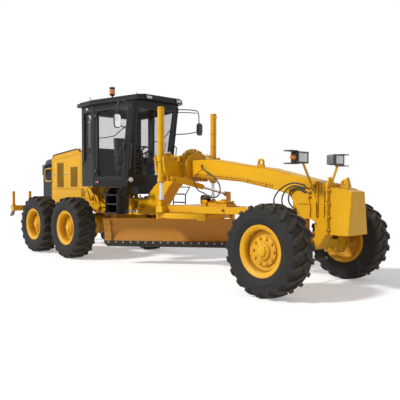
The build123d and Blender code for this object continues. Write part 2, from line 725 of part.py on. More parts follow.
def windscreen_outline(inset):
    return [
        (-430 + inset, 1790 + inset),
        (430 - inset, 1790 + inset),
        (490 - inset, 3180 - inset),
        (-490 + inset, 3180 - inset),
    ]


def rear_window_outline(inset):
    return [
        (-640 + inset, 2420 + inset),
        (640 - inset, 2420 + inset),
        (640 - inset, 3180 - inset),
        (-640 + inset, 3180 - inset),
    ]


def make_cab_glass():
    """Panes let into the middle of the wall: windscreen, rear window and quarter windows."""
    middle = (CAB_WALL - GLASS_T) / 2
    sheet = cab_hull(middle) - cab_hull(middle + GLASS_T, 1)
    glass = sheet & cross_plate(windscreen_outline(SEAT_GAP), 0, 400)
    glass += sheet & cross_plate(rear_window_outline(SEAT_GAP), -1500, -1300)
    glass += sheet & side_plate(quarter_outline(SEAT_GAP), -1000, 1000)
    return glass


def make_door():
    """Left-hand door: a frame the thickness of the wall, with a window and its pane."""
    door = cab_walls() & side_plate(door_outline(DOOR_GAP), 400, 1000)
    door -= side_plate(door_window_outline(), 400, 1000)
    for z in DOOR_HINGE_Z:
        door += door_hinge_leaf(1, z, DOOR_HINGE_H)
    return door


def door_window_outline():
    rail = 80
    points = door_outline(rail)
    sill = 2000
    return [(points[0][0], sill), (front_post_x(sill) - 75 - rail, sill)] + points[2:]


def make_cab_floor():
    plan = cab_plan(CAB_FRONT_X[0], 0)
    floor = flat_plate(plan, CAB_Z0 - FLOOR_T, CAB_Z0)
    well = side_plate(
        [(-620, CAB_Z0 - FLOOR_T), (-120, FOOTWELL_Z), (100, FOOTWELL_Z), (70, CAB_Z0 - FLOOR_T)],
        -FOOTWELL_HALF_W,
        FOOTWELL_HALF_W,
    )
    floor += well
    # steering column, wheel and lever consoles
    column = bar((-130, 0, CAB_Z0), (-260, 0, 2330), 45)
    wheel_plane = Plane(origin=(-260, 0, 2330), z_dir=(-0.45, 0, 0.89))
    column += wheel_plane * (Cylinder(200, 26) - Cylinder(176, 28) + Box(360, 34, 20))
    levers = block(-330, -170, 110, 230, 2080, 2190) + block(-300, -200, 40, 120, 2100, 2150)
    for k in range(4):
        levers += bar((-310 + 40 * k, 170, 2180), (-330 + 40 * k, 170, 2330), 9)
    return floor + column + pair(levers)


def make_seat():
    base = block(-850, -500, -200, 200, CAB_Z0 + SEAT_GAP, 1860)
    seat = base + block(-920, -430, -255, 255, 1860, 2040)
    back = side_plate([(-900, 2000), (-780, 2000), (-930, 2680), (-1010, 2680)], -235, 235)
    rests = pair(block(-860, -500, 265, 320, 2190, 2240) + block(-880, -820, 230, 320, 1980, 2200))
    return seat + back + rests


def make_cab_roof():
    plan = [
        (-1470, -850), (-900, -870), (420, -600), (540, -500),
        (540, 500), (420, 600), (-900, 870), (-1470, 850),
    ]
    base_z = CAB_Z1 + SEAT_GAP
    roof = flat_plate(plan, base_z, base_z + ROOF_T - 30)
    roof += flat_plate([(x * 0.96 - 15, y * 0.95) for x, y in plan], base_z + ROOF_T - 30, base_z + ROOF_T)
    for y in (-392, 392):
        roof += block(520, 560, y - 75, y + 75, base_z + 8, base_z + 78)
    roof += bar((-900, -300, base_z + ROOF_T), (-900, -300, 3600), 16)
    roof += bar((-900, -300, 3600), (-900, -300, 3760), 62)
    return roof


def make_mirrors():
    """Mirror heads on their double tube arms."""
    head = block(440, 480, 1020, 1170, 2693, 2963)
    arms = bar((262, 616, 3230), (440, 1040, 3230), 13) + bar((440, 1040, 3243), (460, 1095, 2950), 13)
    arms += bar((185, 606, 2700), (445, 1040, 2760), 13)
    for x, y, z in ((262, 600, 3230), (185, 590, 2700)):
        arms += block(x - 22, x + 22, y - 30, y + 30, z - 30, z + 30)
    return pair(head + arms) - cab_hull(-SEAT_GAP)


def make_steps():
    """Step well under each door: a slanted frame above an outwards open box with two treads."""
    x0, x1, y0, y1, z0, z1 = -235, 180, 640, 930, 1000, 1380
    wall = 30
    top = CAB_Z0 - FLOOR_T - SEAT_GAP
    slant = 150
    box = block(x0, x1, y0, y1, z0, z1)
    box -= block(x0 + wall, x1 - wall, y0 + wall, y1 + 1, z0 + wall, (z0 + z1) / 2 - wall / 2)
    box -= block(x0 + wall, x1 - wall, y0 + wall, y1 + 1, (z0 + z1) / 2 + wall / 2, z1 - wall)
    hood = side_plate([(x0, z1 - 5), (x1, z1 - 5), (x1 + slant, top), (x0 + slant, top)], y0, y1)
    hood -= side_plate(
        [(x0 + wall, z1), (x1 - wall, z1), (x1 + slant - wall, top - wall), (x0 + slant + wall, top - wall)],
        y0 + wall, y1 + 1,
    )
    hanger = block(x0, x0 + 60, 570, y0 + 5, z1 - 60, top)
    # grab rail behind the step and the clip-on mat of the upper tread
    rail = bar((x0 - 60, 905, z1 - 40), (x0 - 60, 905, top + 20), 14)
    for z in (z1 - 30, top - 10):
        rail += bar((x0 - 60, 905, z), (x0 + 40, 905, z), 12)
    return pair(box + hood + hanger + rail)


# ---- front frame ---------------------------------------------------------------------------------------------------------------------------------
def make_front_frame():
    neck = side_plate(
        [
            (60, HITCH_BOTTOM_Z + 25),
            (257, HITCH_BOTTOM_Z + 10),
            (428, 1071),
            (596, 1234),
            (740, 1392),
            (841, 1509),
            (940, 1611),
            (SADDLE_X - 170, NECK_BOTTOM_Z),
            (BEAM_X0 + 40, NECK_BOTTOM_Z),
            (BEAM_X0 + 40, BEAM_TOP_Z),
            (1010, BEAM_TOP_Z),
            (762, 1894),
            (567, 1677),
            (409, 1572),
            (259, 1440),
            (145, 1330),
            (60, HITCH_TOP_Z - 20),
        ],
        -NECK_HALF_W,
        NECK_HALF_W,
    )
    tongue_z0 = HITCH_BOTTOM_Z + HITCH_BOTTOM_T + SIDE_GAP
    tongue_z1 = HITCH_TOP_Z - HITCH_TOP_T - SIDE_GAP
    tongue = block(ARTICULATION_X, 70, -120, 120, tongue_z0, tongue_z1)
    tongue += bar((ARTICULATION_X, 0, tongue_z0), (ARTICULATION_X, 0, tongue_z1), 120)
    tongue -= bar(
        (ARTICULATION_X, 0, tongue_z0 - 1), (ARTICULATION_X, 0, tongue_z1 + 1), HITCH_PIN_R + PIN_GAP
    )
    # the neck's foot flares outwards towards the hitch
    flare = flat_plate(
        [(400, NECK_HALF_W - 12), (0, 248), (0, -248), (400, -NECK_HALF_W + 12)],
        HITCH_BOTTOM_Z + 30, HITCH_TOP_Z - 12,
    )
    beam = side_plate(
        [
            (BEAM_X0, 1745),
            (2831, 1643),
            (3601, 1499),
            (3862, 1430),
            (FRONT_AXLE_X + 231, 1400),
            (FRONT_AXLE_X + 231, HEAD_TOP_Z),
            (3900, 1748),
            (3389, BEAM_BREAK_Z),
            (2830, 1941),
            (2082, BEAM_TOP_Z),
            (BEAM_X0, BEAM_TOP_Z),
        ],
        -NECK_HALF_W,
        NECK_HALF_W,
    )
    axle = FRONT_AXLE_X
    head = side_plate(
        [
            (axle - 298, 1449),
            (axle - 221, 1332),
            (axle - 51, 1081),
            (axle - 69, 1006),
            (axle - 69, 860),
            (HEAD_X, 850),
            (HEAD_X, 1590),
            (axle + 231, HEAD_TOP_Z),
            (axle - 298, 1560),
        ],
        -HEAD_HALF_W,
        HEAD_HALF_W,
    )
    arch = (axle + 35, 826)
    head -= bar((arch[0], -HEAD_HALF_W - 1, arch[1]), (arch[0], HEAD_HALF_W + 1, arch[1]), 250)
    # two upright ribs and a doubler plate on each cheek of the head
    for x, z0, z1 in ((axle + 215, 1120, 1600), (axle + 330, 1120, 1560)):
        head += pair(block(x, x + 24, HEAD_HALF_W - 5, HEAD_HALF_W + 22, z0, z1))
    head += pair(side_plate(
        [(axle - 190, 1452), (axle - 130, 1300), (axle + 80, 1300), (axle + 80, 1452)],
        HEAD_HALF_W - 5, HEAD_HALF_W + 14,
    ))
    hanger_gap = AXLE_BOSS_HALF_X + SIDE_GAP
    hangers = side_plate(
        [(axle + hanger_gap, 610), (axle + hanger_gap + 60, 610),
         (HEAD_X - 120, 900), (HEAD_X - 120, 1200), (axle + hanger_gap, 1200)],
        -95, 95,
    )
    hangers += side_plate(
        [(axle - hanger_gap - 60, 610), (axle - hanger_gap, 610),
         (axle - hanger_gap, 1200), (axle - 260, 1380), (axle - 300, 1380), (axle - 300, 1080)],
        -95, 95,
    )
    pin = bar(
        (axle - hanger_gap - 60, 0, AXLE_PIVOT_Z),
        (axle + hanger_gap + 60, 0, AXLE_PIVOT_Z),
        AXLE_PIN_R,
    )
    socket = side_plate(
        [(BALL_X, BALL_Z - BALL_CUP), (BALL_X + 210, BALL_Z - BALL_CUP), (BALL_X + 210, 1150),
         (BALL_X + 110, 1100), (BALL_X, BALL_Z + BALL_CUP)],
        -BALL_CUP, BALL_CUP,
    )
    socket -= Pos(BALL_X, 0, BALL_Z) * Sphere(BALL_R + SEAT_GAP)
    flange = cross_plate(
        [(-330, 862), (330, 862), (330, 1580), (265, 1700), (225, 1700), (150, 1600), (-150, 1600),
         (-225, 1700), (-265, 1700), (-330, 1580)],
        HEAD_X, HEAD_X + FLANGE_PLATE_T,
    )
    for z in (940, 1130, 1320, 1510):
        flange += pair(bar((HEAD_X - 16, 302, z), (HEAD_X + 4, 302, z), 15))
    ex, ey, ez = ARTIC_ROD_EYE
    ear = block(ex - 45, ex + 45, NECK_HALF_W - 10, ey, ez + 36, ez + 62)
    ear += bar((ex, ey, ez + 36), (ex, ey, ez + 62), 45)
    frame = neck + tongue + flare + beam + head + hangers + pin + socket + flange + pair(ear)
    # weld-on gussets below the break of the neck, and clips and glands for the hoses
    frame += pair(side_plate([(850, 1560), (900, 1560), (1090, 1740), (1040, 1740)], NECK_HALF_W - 5, NECK_HALF_W + 10))
    for route in HOSE_ROUTES:
        start, end = Vector(*route[0]), Vector(*route[-1])
        lead_in = (start - Vector(*route[1])).normalized()
        lead_out = (end - Vector(*route[-2])).normalized()
        frame += bar(tuple(start), tuple(start + lead_in * HOSE_GLAND_L), HOSE_GLAND_R)
        frame += bar(tuple(end), tuple(end + lead_out * HOSE_GLAND_L), HOSE_GLAND_R)
    return frame


def make_nose_block():
    x0 = HEAD_X + FLANGE_PLATE_T + SEAT_GAP
    root = Polygon((-285, NOSE_Z0), (285, NOSE_Z0), (285, NOSE_REAR_Z), (-285, NOSE_REAR_Z), align=None)
    face = Polygon((-254, NOSE_Z0), (254, NOSE_Z0), (170, NOSE_FRONT_Z), (-170, NOSE_FRONT_Z), align=None)
    return loft([Plane.YZ.offset(x0) * root, Plane.YZ.offset(NOSE_X) * face], ruled=True)


def nose_top_z(x):
    """Height of the nose block's sloping top."""
    x0 = HEAD_X + FLANGE_PLATE_T + SEAT_GAP
    return NOSE_REAR_Z + (NOSE_FRONT_Z - NOSE_REAR_Z) * (x - x0) / (NOSE_X - x0)


def beam_top_z(x):
    """Height of the beam's top between its first two breaks."""
    return 1941 + (BEAM_BREAK_Z - 1941) * (x - 2830) / (3389 - 2830)


def make_lifting_eyes():
    """Two eyes for slings: on the beam and on the nose block."""
    eyes = None
    for x, z, radius, hole_r, top in (
        (BEAM_EYE_X, BEAM_EYE_Z, 64, 34, beam_top_z),
        (NOSE_EYE_X, NOSE_EYE_Z, 60, 32, nose_top_z),
    ):
        reach = radius * 1.2
        foot = [(side * reach + x, top(side * reach + x) + SEAT_GAP) for side in (-1, 1)]
        eye = extrude(Plane.XZ.offset(-20) * (Pos(x, z) * Circle(radius)), amount=40)
        eye += side_plate(foot + [(x + radius * 0.9, z - 10), (x - radius * 0.9, z - 10)], -20, 20)
        eye -= bar((x, -30, z), (x, 30, z), hole_r)
        eyes = eye if eyes is None else eyes + eye
    return eyes


def crank_outline():
    """Crank plate in Y and Z, left half: from the saddle's body out to the trunnion and back."""
    boss = LIFT_Y
    return [
        (200, 1970), (400, 2017), (boss - 220, LIFT_PIVOT_Z + 45), (boss + 10, LIFT_PIVOT_Z + 50),
        (boss + 55, LIFT_PIVOT_Z), (boss + 10, LIFT_PIVOT_Z - 255), (boss - 50, LIFT_PIVOT_Z - 345),
        (boss - 70, SHIFT_PIN[2] - 50), (boss - 200, SHIFT_PIN[2] - 50), (boss - 250, 1700), (200, 1765),
    ]


def make_saddle():
    """Lift saddle on the beam: ring, slotted lock plate, body and two cranks for the trunnions."""
    rear_x = SADDLE_X - SADDLE_HALF_X - CRANK_T
    front_x = SADDLE_X + SADDLE_HALF_X
    lock_x1 = front_x + CRANK_T + 14
    saddle = block(rear_x + 20, front_x + 10, -300, 300, NECK_BOTTOM_Z - 30, 2150)
    saddle += bar((front_x, 0, SADDLE_RING_Z), (SADDLE_RING_X1, 0, SADDLE_RING_Z), SADDLE_RING_R)
    seam_x = (lock_x1 + SADDLE_RING_X1) / 2
    seam = bar((seam_x - 6, 0, SADDLE_RING_Z), (seam_x + 6, 0, SADDLE_RING_Z), SADDLE_RING_R + 1)
    saddle -= seam - bar((seam_x - 7, 0, SADDLE_RING_Z), (seam_x + 7, 0, SADDLE_RING_Z), SADDLE_RING_R - 12)
    quadrant = bar((lock_x1 - 34, 0, SADDLE_RING_Z), (lock_x1, 0, SADDLE_RING_Z), LOCK_PLATE_R)
    quadrant &= block(front_x, lock_x1 + 1, -270, 200, SADDLE_RING_Z + 60, SADDLE_RING_Z + 400)
    for turn in (-36, -18, 0, 18):
        slot = block(front_x, lock_x1 + 1, -17, 17, SADDLE_RING_R + 18, LOCK_PLATE_R + 1)
        quadrant -= Pos(0, 0, SADDLE_RING_Z) * Rot(-turn, 0, 0) * slot
    saddle += quadrant
    for x0 in (rear_x, front_x):
        saddle += pair(cross_plate(crank_outline(), x0, x0 + CRANK_T))
    for side in (-1, 1):
        y = side * LIFT_Y
        saddle += bar((rear_x - 10, y, LIFT_PIVOT_Z), (rear_x + 5, y, LIFT_PIVOT_Z), 62)
        saddle += bar((front_x + CRANK_T - 5, y, LIFT_PIVOT_Z), (front_x + CRANK_T + 18, y, LIFT_PIVOT_Z), 62)
        saddle += bar((front_x + 5, side * 530, 2100), (front_x + CRANK_T + 26, side * 530, 2100), 45)
        saddle -= bar(
            (SADDLE_X - 200, y, LIFT_PIVOT_Z), (SADDLE_X + 200, y, LIFT_PIVOT_Z), TRUNNION_R + PIN_GAP
        )
    # lock pin linkage at the plate's upper end
    saddle += block(front_x + 8, lock_x1 + 40, 150, 230, 2130, 2200)
    saddle += bar((lock_x1 + 24, 110, 2165), (lock_x1 + 24, 290, 2165), 15)
    sx, sy, sz = SHIFT_PIN
    swing = shift_hinge_axis()
    reach = (sx - front_x) / swing.X
    saddle += bar(tuple(Vector(sx, sy, sz) - swing * (reach - 4)), tuple(Vector(sx, sy, sz) + swing * 40), SHIFT_PIN_R)
    saddle += bar(tuple(Vector(sx, sy, sz) + swing * 32), tuple(Vector(sx, sy, sz) + swing * 46), SHIFT_PIN_R + 14)
    return saddle - block(
        rear_x - 1, SADDLE_RING_X1 + 1, -NECK_HALF_W - SEAT_GAP, NECK_HALF_W + SEAT_GAP,
        NECK_BOTTOM_Z - SEAT_GAP, BEAM_TOP_Z + SEAT_GAP,
    )


SHIFT_PIN = (1515, -585, 1712)
SHIFT_EYE = (1830, 500, 1420)
SHIFT_PIN_R = 18
SHIFT_ROD_R = 25
SHIFT_BARREL_L = 640
SHIFT_ROD_INSIDE = 362
HOSE_R = 12
HOSE_GLAND_R = 17
HOSE_GLAND_L = 75
HOSE_BEND_SHARE = 0.45
# way of each free hanging hose, from gland to gland
HOSE_ROUTES = (
    (
        (1850, -180, 1950), (1930, -262, 1885), (2100, -262, 1825),
        (2265, -262, 1740), (2385, -262, 1628), (2428, -262, 1500),
        (2365, -262, 1385), (2240, -262, 1358), (2112, -262, 1388),
        (1985, -262, 1450), (1852, -262, 1478), (1762, -262, 1572),
        (1738, -262, 1700), (1715, -180, 1790),
    ),
    (
        (4205, -240, 1575), (4120, -285, 1612), (3985, -285, 1622),
        (3830, -285, 1572), (3695, -285, 1475), (3610, -280, 1350),
        (3620, -225, 1215), (3700, -165, 1105), (3830, -115, 1040),
    ),
    (
        (4205, -240, 1515), (4120, -257, 1560), (3995, -257, 1580),
        (3865, -257, 1530), (3775, -257, 1425), (3755, -250, 1300),
        (3800, -205, 1195), (3890, -135, 1130),
    ),
    (
        (4205, -225, 1455), (4120, -229, 1520), (4000, -229, 1540),
        (3905, -229, 1480), (3862, -229, 1375), (3885, -205, 1265),
        (3960, -135, 1185),
    ),
)


def shift_hinge_axis():
    """Level axis at right angles to the side-shift cylinder."""
    reach = Vector(*SHIFT_EYE) - Vector(*SHIFT_PIN)
    return Vector(reach.Y, -reach.X, 0).normalized()


def make_head_lamps():
    """Left-hand lamp cluster on its square stalk, between two guard bars."""
    x = FRONT_AXLE_X
    foot = block(x + 135, x + 195, HEAD_HALF_W + SEAT_GAP, HEAD_HALF_W + 20, 1480, 1600)
    stalk = loft(
        [
            Plane.XY.offset(1540) * (Pos(x + 165, HEAD_HALF_W + 26) * Rectangle(44, 44)),
            Plane.XY.offset(1915) * (Pos(x + 150, 480) * Rectangle(44, 44)),
        ],
        ruled=True,
    )
    lamp = block(x + 90, x + 183, 395, 625, 1925, 2070) + block(x + 95, x + 183, 640, 730, 1925, 2070)
    for z0, z1 in ((1905, 1925), (2070, 2090)):
        lamp += block(x + 85, x + 190, 345, 930, z0, z1)
    lamp += block(x + 100, x + 170, 745, 925, 1925, 2070)
    lamp += block(x + 105, x + 165, 345, 385, 1925, 2070)
    return pair(foot + stalk + lamp)


# ---- drawbar, circle and blade -------------------------------------------------------------------------------------------------------------------------------
def make_drawbar_ball():
    return Pos(BALL_X, 0, BALL_Z) * Sphere(BALL_R)


def make_drawbar():
    legs = [
        (BALL_X - 270, 100), (BALL_X - 190, 60), (BALL_X - 190, -60), (BALL_X - 270, -100),
        (1230, -640), (1090, -640), (1090, 640), (1230, 640),
    ]
    drawbar = flat_plate(legs, DRAWBAR_Z0, DRAWBAR_Z1)
    drawbar -= flat_plate([(3150, 0), (GEARBOX_X1 + 10, -200), (GEARBOX_X1 + 10, 200)], DRAWBAR_Z0 - 1, DRAWBAR_Z1 + 1)
    nose_x = BALL_X - 90
    tip_x = BALL_X - 28
    nose = side_plate(
        [(BALL_X - 350, DRAWBAR_Z0), (BALL_X - 350, DRAWBAR_Z1), (BALL_X - 190, DRAWBAR_Z1), (nose_x, BALL_Z + 60),
         (tip_x, BALL_Z + 44), (tip_x, BALL_Z - 44), (nose_x, BALL_Z - 60), (BALL_X - 150, BALL_Z - 60)],
        -60, 60,
    )
    nose &= flat_plate(
        [(BALL_X - 360, -60), (nose_x, -60), (tip_x, -44), (tip_x, 44), (nose_x, 60), (BALL_X - 360, 60)],
        800, 1300,
    )
    nose -= Pos(BALL_X, 0, BALL_Z) * Sphere(BALL_R + SEAT_GAP)
    drawbar += nose
    for side in (-1, 1):
        post = cross_plate(
            [(side * 600, DRAWBAR_Z1), (side * 730, DRAWBAR_Z1), (side * 730, 1290), (side * 650, 1290)],
            SADDLE_X - 45, SADDLE_X + 45,
        )
        y0, y1 = sorted((side * 560, side * 740))
        drawbar += post + block(SADDLE_X - 90, SADDLE_X + 90, y0, y1, DRAWBAR_Z0, DRAWBAR_Z1)
        drawbar += bar((SADDLE_X, side * LIFT_Y, 1280), (SADDLE_X, side * LIFT_Y, 1310), 36)
    # circle drive: gearbox with its cover and motor, and the swivel for the oil behind it
    drawbar += block(GEARBOX_X0, GEARBOX_X1, -GEARBOX_HALF_W, GEARBOX_HALF_W, DRAWBAR_Z1 - 5, GEARBOX_Z1 - 30)
    drawbar += block(
        GEARBOX_X0 + 30, GEARBOX_X1 - 30, -GEARBOX_HALF_W + 25, GEARBOX_HALF_W - 25, GEARBOX_Z1 - 35, GEARBOX_Z1
    )
    drawbar += bar((1690, 0, DRAWBAR_Z1 + 78), (1860, 0, DRAWBAR_Z1 + 78), 62)
    drawbar += block(1720, 1830, -50, 50, DRAWBAR_Z1 - 5, DRAWBAR_Z1 + 60)
    drawbar += block(1860, GEARBOX_X0 + 5, -30, 30, DRAWBAR_Z1 - 5, DRAWBAR_Z1 + 60)
    ex, ey, ez = SHIFT_EYE
    drawbar += block(ex + 62, ex + 102, ey - 60, ey + 30, DRAWBAR_Z0 + 20, ez + 40)
    # shoes that hold the circle from outside and below
    for turn in (35, 122, 238, 325):
        shoe = block(CIRCLE_R + 6, CIRCLE_R + 60, -70, 70, CIRCLE_Z0 - 28, DRAWBAR_Z0)
        shoe += block(CIRCLE_R - 34, CIRCLE_R + 60, -70, 70, CIRCLE_Z0 - 28, CIRCLE_Z0 - SEAT_GAP)
        drawbar += Pos(CIRCLE_X, 0, 0) * Rot(0, 0, turn) * shoe
    return drawbar


def blade_place(part):
    """From the blade's own frame: x forward of the edge line, y along the blade to its far end."""
    n = Vector(1, 0, 0).rotate(Axis.Z, BLADE_YAW)
    return Pos(CIRCLE_X - BLADE_SETBACK * n.X, -BLADE_SETBACK * n.Y, 0) * Rot(0, 0, BLADE_YAW) * part


def make_circle():
    ring = Cylinder(CIRCLE_R, CIRCLE_Z1 - CIRCLE_Z0) - Cylinder(CIRCLE_BORE_R, 500)
    ring = Pos(CIRCLE_X, 0, (CIRCLE_Z0 + CIRCLE_Z1) / 2) * ring
    arms = None
    for y in ARM_Y:
        arm = side_plate(
            [(-250, CIRCLE_Z0 + 20), (-160, CIRCLE_Z0 + 20), (-160, 500), (-200, 450), (-250, 500)],
            y - ARM_W / 2, y + ARM_W / 2,
        )
        arm -= bar((-200, y - ARM_W, TILT_Z), (-200, y + ARM_W, TILT_Z), TILT_PIN_R + PIN_GAP)
        arms = arm if arms is None else arms + arm
    return ring + blade_place(arms)


def make_blade_carrier():
    carrier = bar((-124, ARM_Y[0] - 160, 660), (-124, ARM_Y[1] + 160, 660), 18)
    for y in ARM_Y:
        carrier += bar((-200, y - 96, TILT_Z), (-200, y + 96, TILT_Z), TILT_PIN_R)
        for side in (-1, 1):
            near = y + side * (ARM_W / 2 + SIDE_GAP)
            far = y + side * (ARM_W / 2 + SIDE_GAP + 40)
            shoe = side_plate(
                [(-240, TILT_Z - 40), (-120, 440), (RAIL_FACE_X, 440), (RAIL_FACE_X, 860), (-144, 860), (-144, 640),
                 (-240, TILT_Z + 40)],
                min(near, far), max(near, far),
            )
            carrier += shoe
    return blade_place(carrier)


def moldboard_section():
    """Concave plate in the blade's X and Z, from the cutting edge up to the forward-leaning top."""
    z0 = EDGE_Z + EDGE_H - 30
    bottom = (0, z0)
    top = (MOLDBOARD_LEAN, MOLDBOARD_TOP_Z)
    middle = ((bottom[0] + top[0]) / 2 - MOLDBOARD_SAG, (bottom[1] + top[1]) / 2)
    front = ThreePointArc(bottom, middle, top)
    back = ThreePointArc(
        (top[0] - MOLDBOARD_T, top[1]), (middle[0] - MOLDBOARD_T, middle[1]), (bottom[0] - MOLDBOARD_T, bottom[1])
    )
    return make_face([front, Line(top, (top[0] - MOLDBOARD_T, top[1])), back, Line((bottom[0] - MOLDBOARD_T, bottom[1]), bottom)])


def make_moldboard():
    y0 = BLADE_T0
    y1 = BLADE_T0 + BLADE_LENGTH
    board = extrude(Plane.XZ.offset(-y1) * moldboard_section(), amount=y1 - y0)
    # two slide rails run along its back, carried by the shoes of the blade carrier
    for x1, z0, z1 in ((-50, 560, 600), (2, 800, 840)):
        board += block(RAIL_FACE_X + SEAT_GAP, x1, y0 + RAIL_END, y1 - RAIL_END, z0, z1)
    return blade_place(board)


def make_cutting_edge():
    """Bolted edge with cut-back lower corners."""
    y0 = BLADE_T0
    y1 = BLADE_T0 + BLADE_LENGTH
    edge = side_plate(
        [(0.3, EDGE_Z), (EDGE_T, EDGE_Z + 8), (EDGE_T, EDGE_Z + EDGE_H), (0.3, EDGE_Z + EDGE_H)], y0, y1
    )
    edge &= cross_plate(
        [(y0 + EDGE_CHAMFER, EDGE_Z - 1), (y1 - EDGE_CHAMFER, EDGE_Z - 1), (y1, EDGE_Z + EDGE_CHAMFER),
         (y1, EDGE_Z + EDGE_H + 1), (y0, EDGE_Z + EDGE_H + 1), (y0, EDGE_Z + EDGE_CHAMFER)],
        -1, EDGE_T + 1,
    )
    return blade_place(edge)


# ---- ripper ---------------------------------------------------------------------------------------------------------------------------------------------
def make_ripper():
    hx, _, hz = RIPPER_HINGE
    beam = block(-4700, -4560, -1000, 1000, 910, 1050)
    arm = side_plate([(hx, hz - 50), (-4560, 920), (-4560, 1040), (hx, hz + 50)], 270, 294)
    arm += bar((hx, 270, hz), (hx, 294, hz), 50)
    arm -= bar((hx, 269, hz), (hx, 331, hz), 24 + PIN_GAP)
    beam += pair(arm)
    for y in (-920, -460, 0, 460, 920):
        shank = side_plate(
            [(-4760, 1430), (-4700, 1430), (-4700, 900), (-4800, 770), (-4945, 750), (-4850, 830), (-4760, 980)],
            y - 28, y + 28,
        )
        beam += shank
    ex, _, ez = RIPPER_ROD_EYE
    lug_plate = side_plate([(-4700, 1040), (-4560, 1040), (ex + 40, ez - 40), (ex + 40, ez + 40), (ex - 50, ez + 40)], 36, 60)
    return beam + pair(lug_plate)


# ---- cylinders ----------------------------------------------------------------------------------------------------------------------------------------------------
def barrel_between(pin, eye, length, barrel_r, rod_r, eye_r):
    """Cylinder barrel from its pin towards the rod's eye, bored for the rod."""
    axis = (Vector(*eye) - Vector(*pin)).normalized()
    start = Vector(*pin)
    body = bar(tuple(start + axis * (eye_r - 6)), tuple(start + axis * length), barrel_r)
    return body - bar(tuple(start + axis * (eye_r + 40)), tuple(start + axis * (length + 1)), rod_r + PIN_GAP)


def rod_between(pin, eye, inside, rod_r, eye_r):
    axis = (Vector(*eye) - Vector(*pin)).normalized()
    tip = Vector(*eye)
    return bar(tuple(tip - axis * (eye_r - 6)), tuple(Vector(*pin) + axis * inside), rod_r)


def make_lift_barrel():
    y = LIFT_Y
    barrel = bar((SADDLE_X, y, LIFT_GLAND_Z), (SADDLE_X, y, LIFT_TOP_Z), BARREL_R)
    barrel += bar((SADDLE_X, y, LIFT_PIVOT_Z - 55), (SADDLE_X, y, LIFT_PIVOT_Z + 55), BARREL_R + 18)
    barrel += bar((SADDLE_X, y, LIFT_GLAND_Z), (SADDLE_X, y, LIFT_GLAND_Z + 60), BARREL_R + 8)
    reach = SADDLE_HALF_X + CRANK_T + 18
    barrel += bar((SADDLE_X - reach, y, LIFT_PIVOT_Z), (SADDLE_X + reach, y, LIFT_PIVOT_Z), TRUNNION_R)
    return barrel - bar((SADDLE_X, y, LIFT_GLAND_Z - 1), (SADDLE_X, y, LIFT_TOP_Z - 60), ROD_R + PIN_GAP)


def make_lift_rod():
    y = LIFT_Y
    rod = bar((SADDLE_X, y, LIFT_EYE_Z), (SADDLE_X, y, LIFT_TOP_Z - 180), ROD_R)
    return rod + bar((SADDLE_X, y, 1318), (SADDLE_X, y, LIFT_EYE_Z + 30), 48)


def ring_eye(point, axis, radius, width, hole_r):
    half = Vector(*axis).normalized() * (width / 2)
    start = tuple(Vector(*point) - half)
    end = tuple(Vector(*point) + half)
    return bar(start, end, radius) - bar(
        tuple(Vector(*point) - half * 1.1), tuple(Vector(*point) + half * 1.1), hole_r
    )


def make_shift_barrel():
    pin = SHIFT_PIN
    barrel = barrel_between(pin, SHIFT_EYE, SHIFT_BARREL_L, 50, SHIFT_ROD_R, 46)
    return barrel + ring_eye(pin, shift_hinge_axis(), 44, 56, SHIFT_PIN_R + PIN_GAP)


def make_shift_rod():
    rod = rod_between(SHIFT_PIN, SHIFT_EYE, SHIFT_ROD_INSIDE, SHIFT_ROD_R, 50)
    return rod + ring_eye(SHIFT_EYE, (1, 0, 0), 50, 50, 22)


def make_artic_barrel():
    pin = ARTIC_BARREL_PIN
    barrel = barrel_between(pin, ARTIC_ROD_EYE, 700, 46, ARTIC_ROD_R, 46)
    return barrel + ring_eye(pin, (0, 0, 1), 46, 90, 20 + PIN_GAP)


def make_artic_rod():
    rod = rod_between(ARTIC_BARREL_PIN, ARTIC_ROD_EYE, 330, ARTIC_ROD_R, 40)
    return rod + ring_eye(ARTIC_ROD_EYE, (0, 0, 1), 40, 60, 20)


def make_ripper_barrel():
    pin = RIPPER_BARREL_PIN
    barrel = barrel_between(pin, RIPPER_ROD_EYE, 430, 42, RIPPER_ROD_R, 46)
    return barrel + ring_eye(pin, (0, 1, 0), 46, 100, 18 + PIN_GAP)


def make_ripper_rod():
    rod = rod_between(RIPPER_BARREL_PIN, RIPPER_ROD_EYE, 130, RIPPER_ROD_R, 40)
    return rod + ring_eye(RIPPER_ROD_EYE, (0, 1, 0), 40, 60, 18)


def make_hoses():
    """Free hanging hoses, each along straight runs joined by tangent arcs."""
    hoses = None
    for route in HOSE_ROUTES:
        points = [Vector(*p) for p in route]
        edges = []
        last = points[0]
        for before, corner, after in zip(points, points[1:], points[2:]):
            run_in = corner - before
            run_out = after - corner
            reach = HOSE_BEND_SHARE * min(run_in.length, run_out.length)
            first = corner - run_in.normalized() * reach
            end = corner + run_out.normalized() * reach
            half_turn = radians(run_in.get_angle(run_out) / 2)
            inward = (end - corner + first - corner).normalized()
            depth = reach / tan(half_turn) * (1 / cos(half_turn) - 1)
            edges.append(Line(last, first))
            edges.append(ThreePointArc(first, corner + inward * depth, end))
            last = end
        edges.append(Line(last, points[-1]))
        section = Plane(origin=points[0], z_dir=points[1] - points[0]) * Circle(HOSE_R)
        hose = sweep(section, path=Wire(edges))
        hoses = hose if hoses is None else hoses + hose
    return hoses


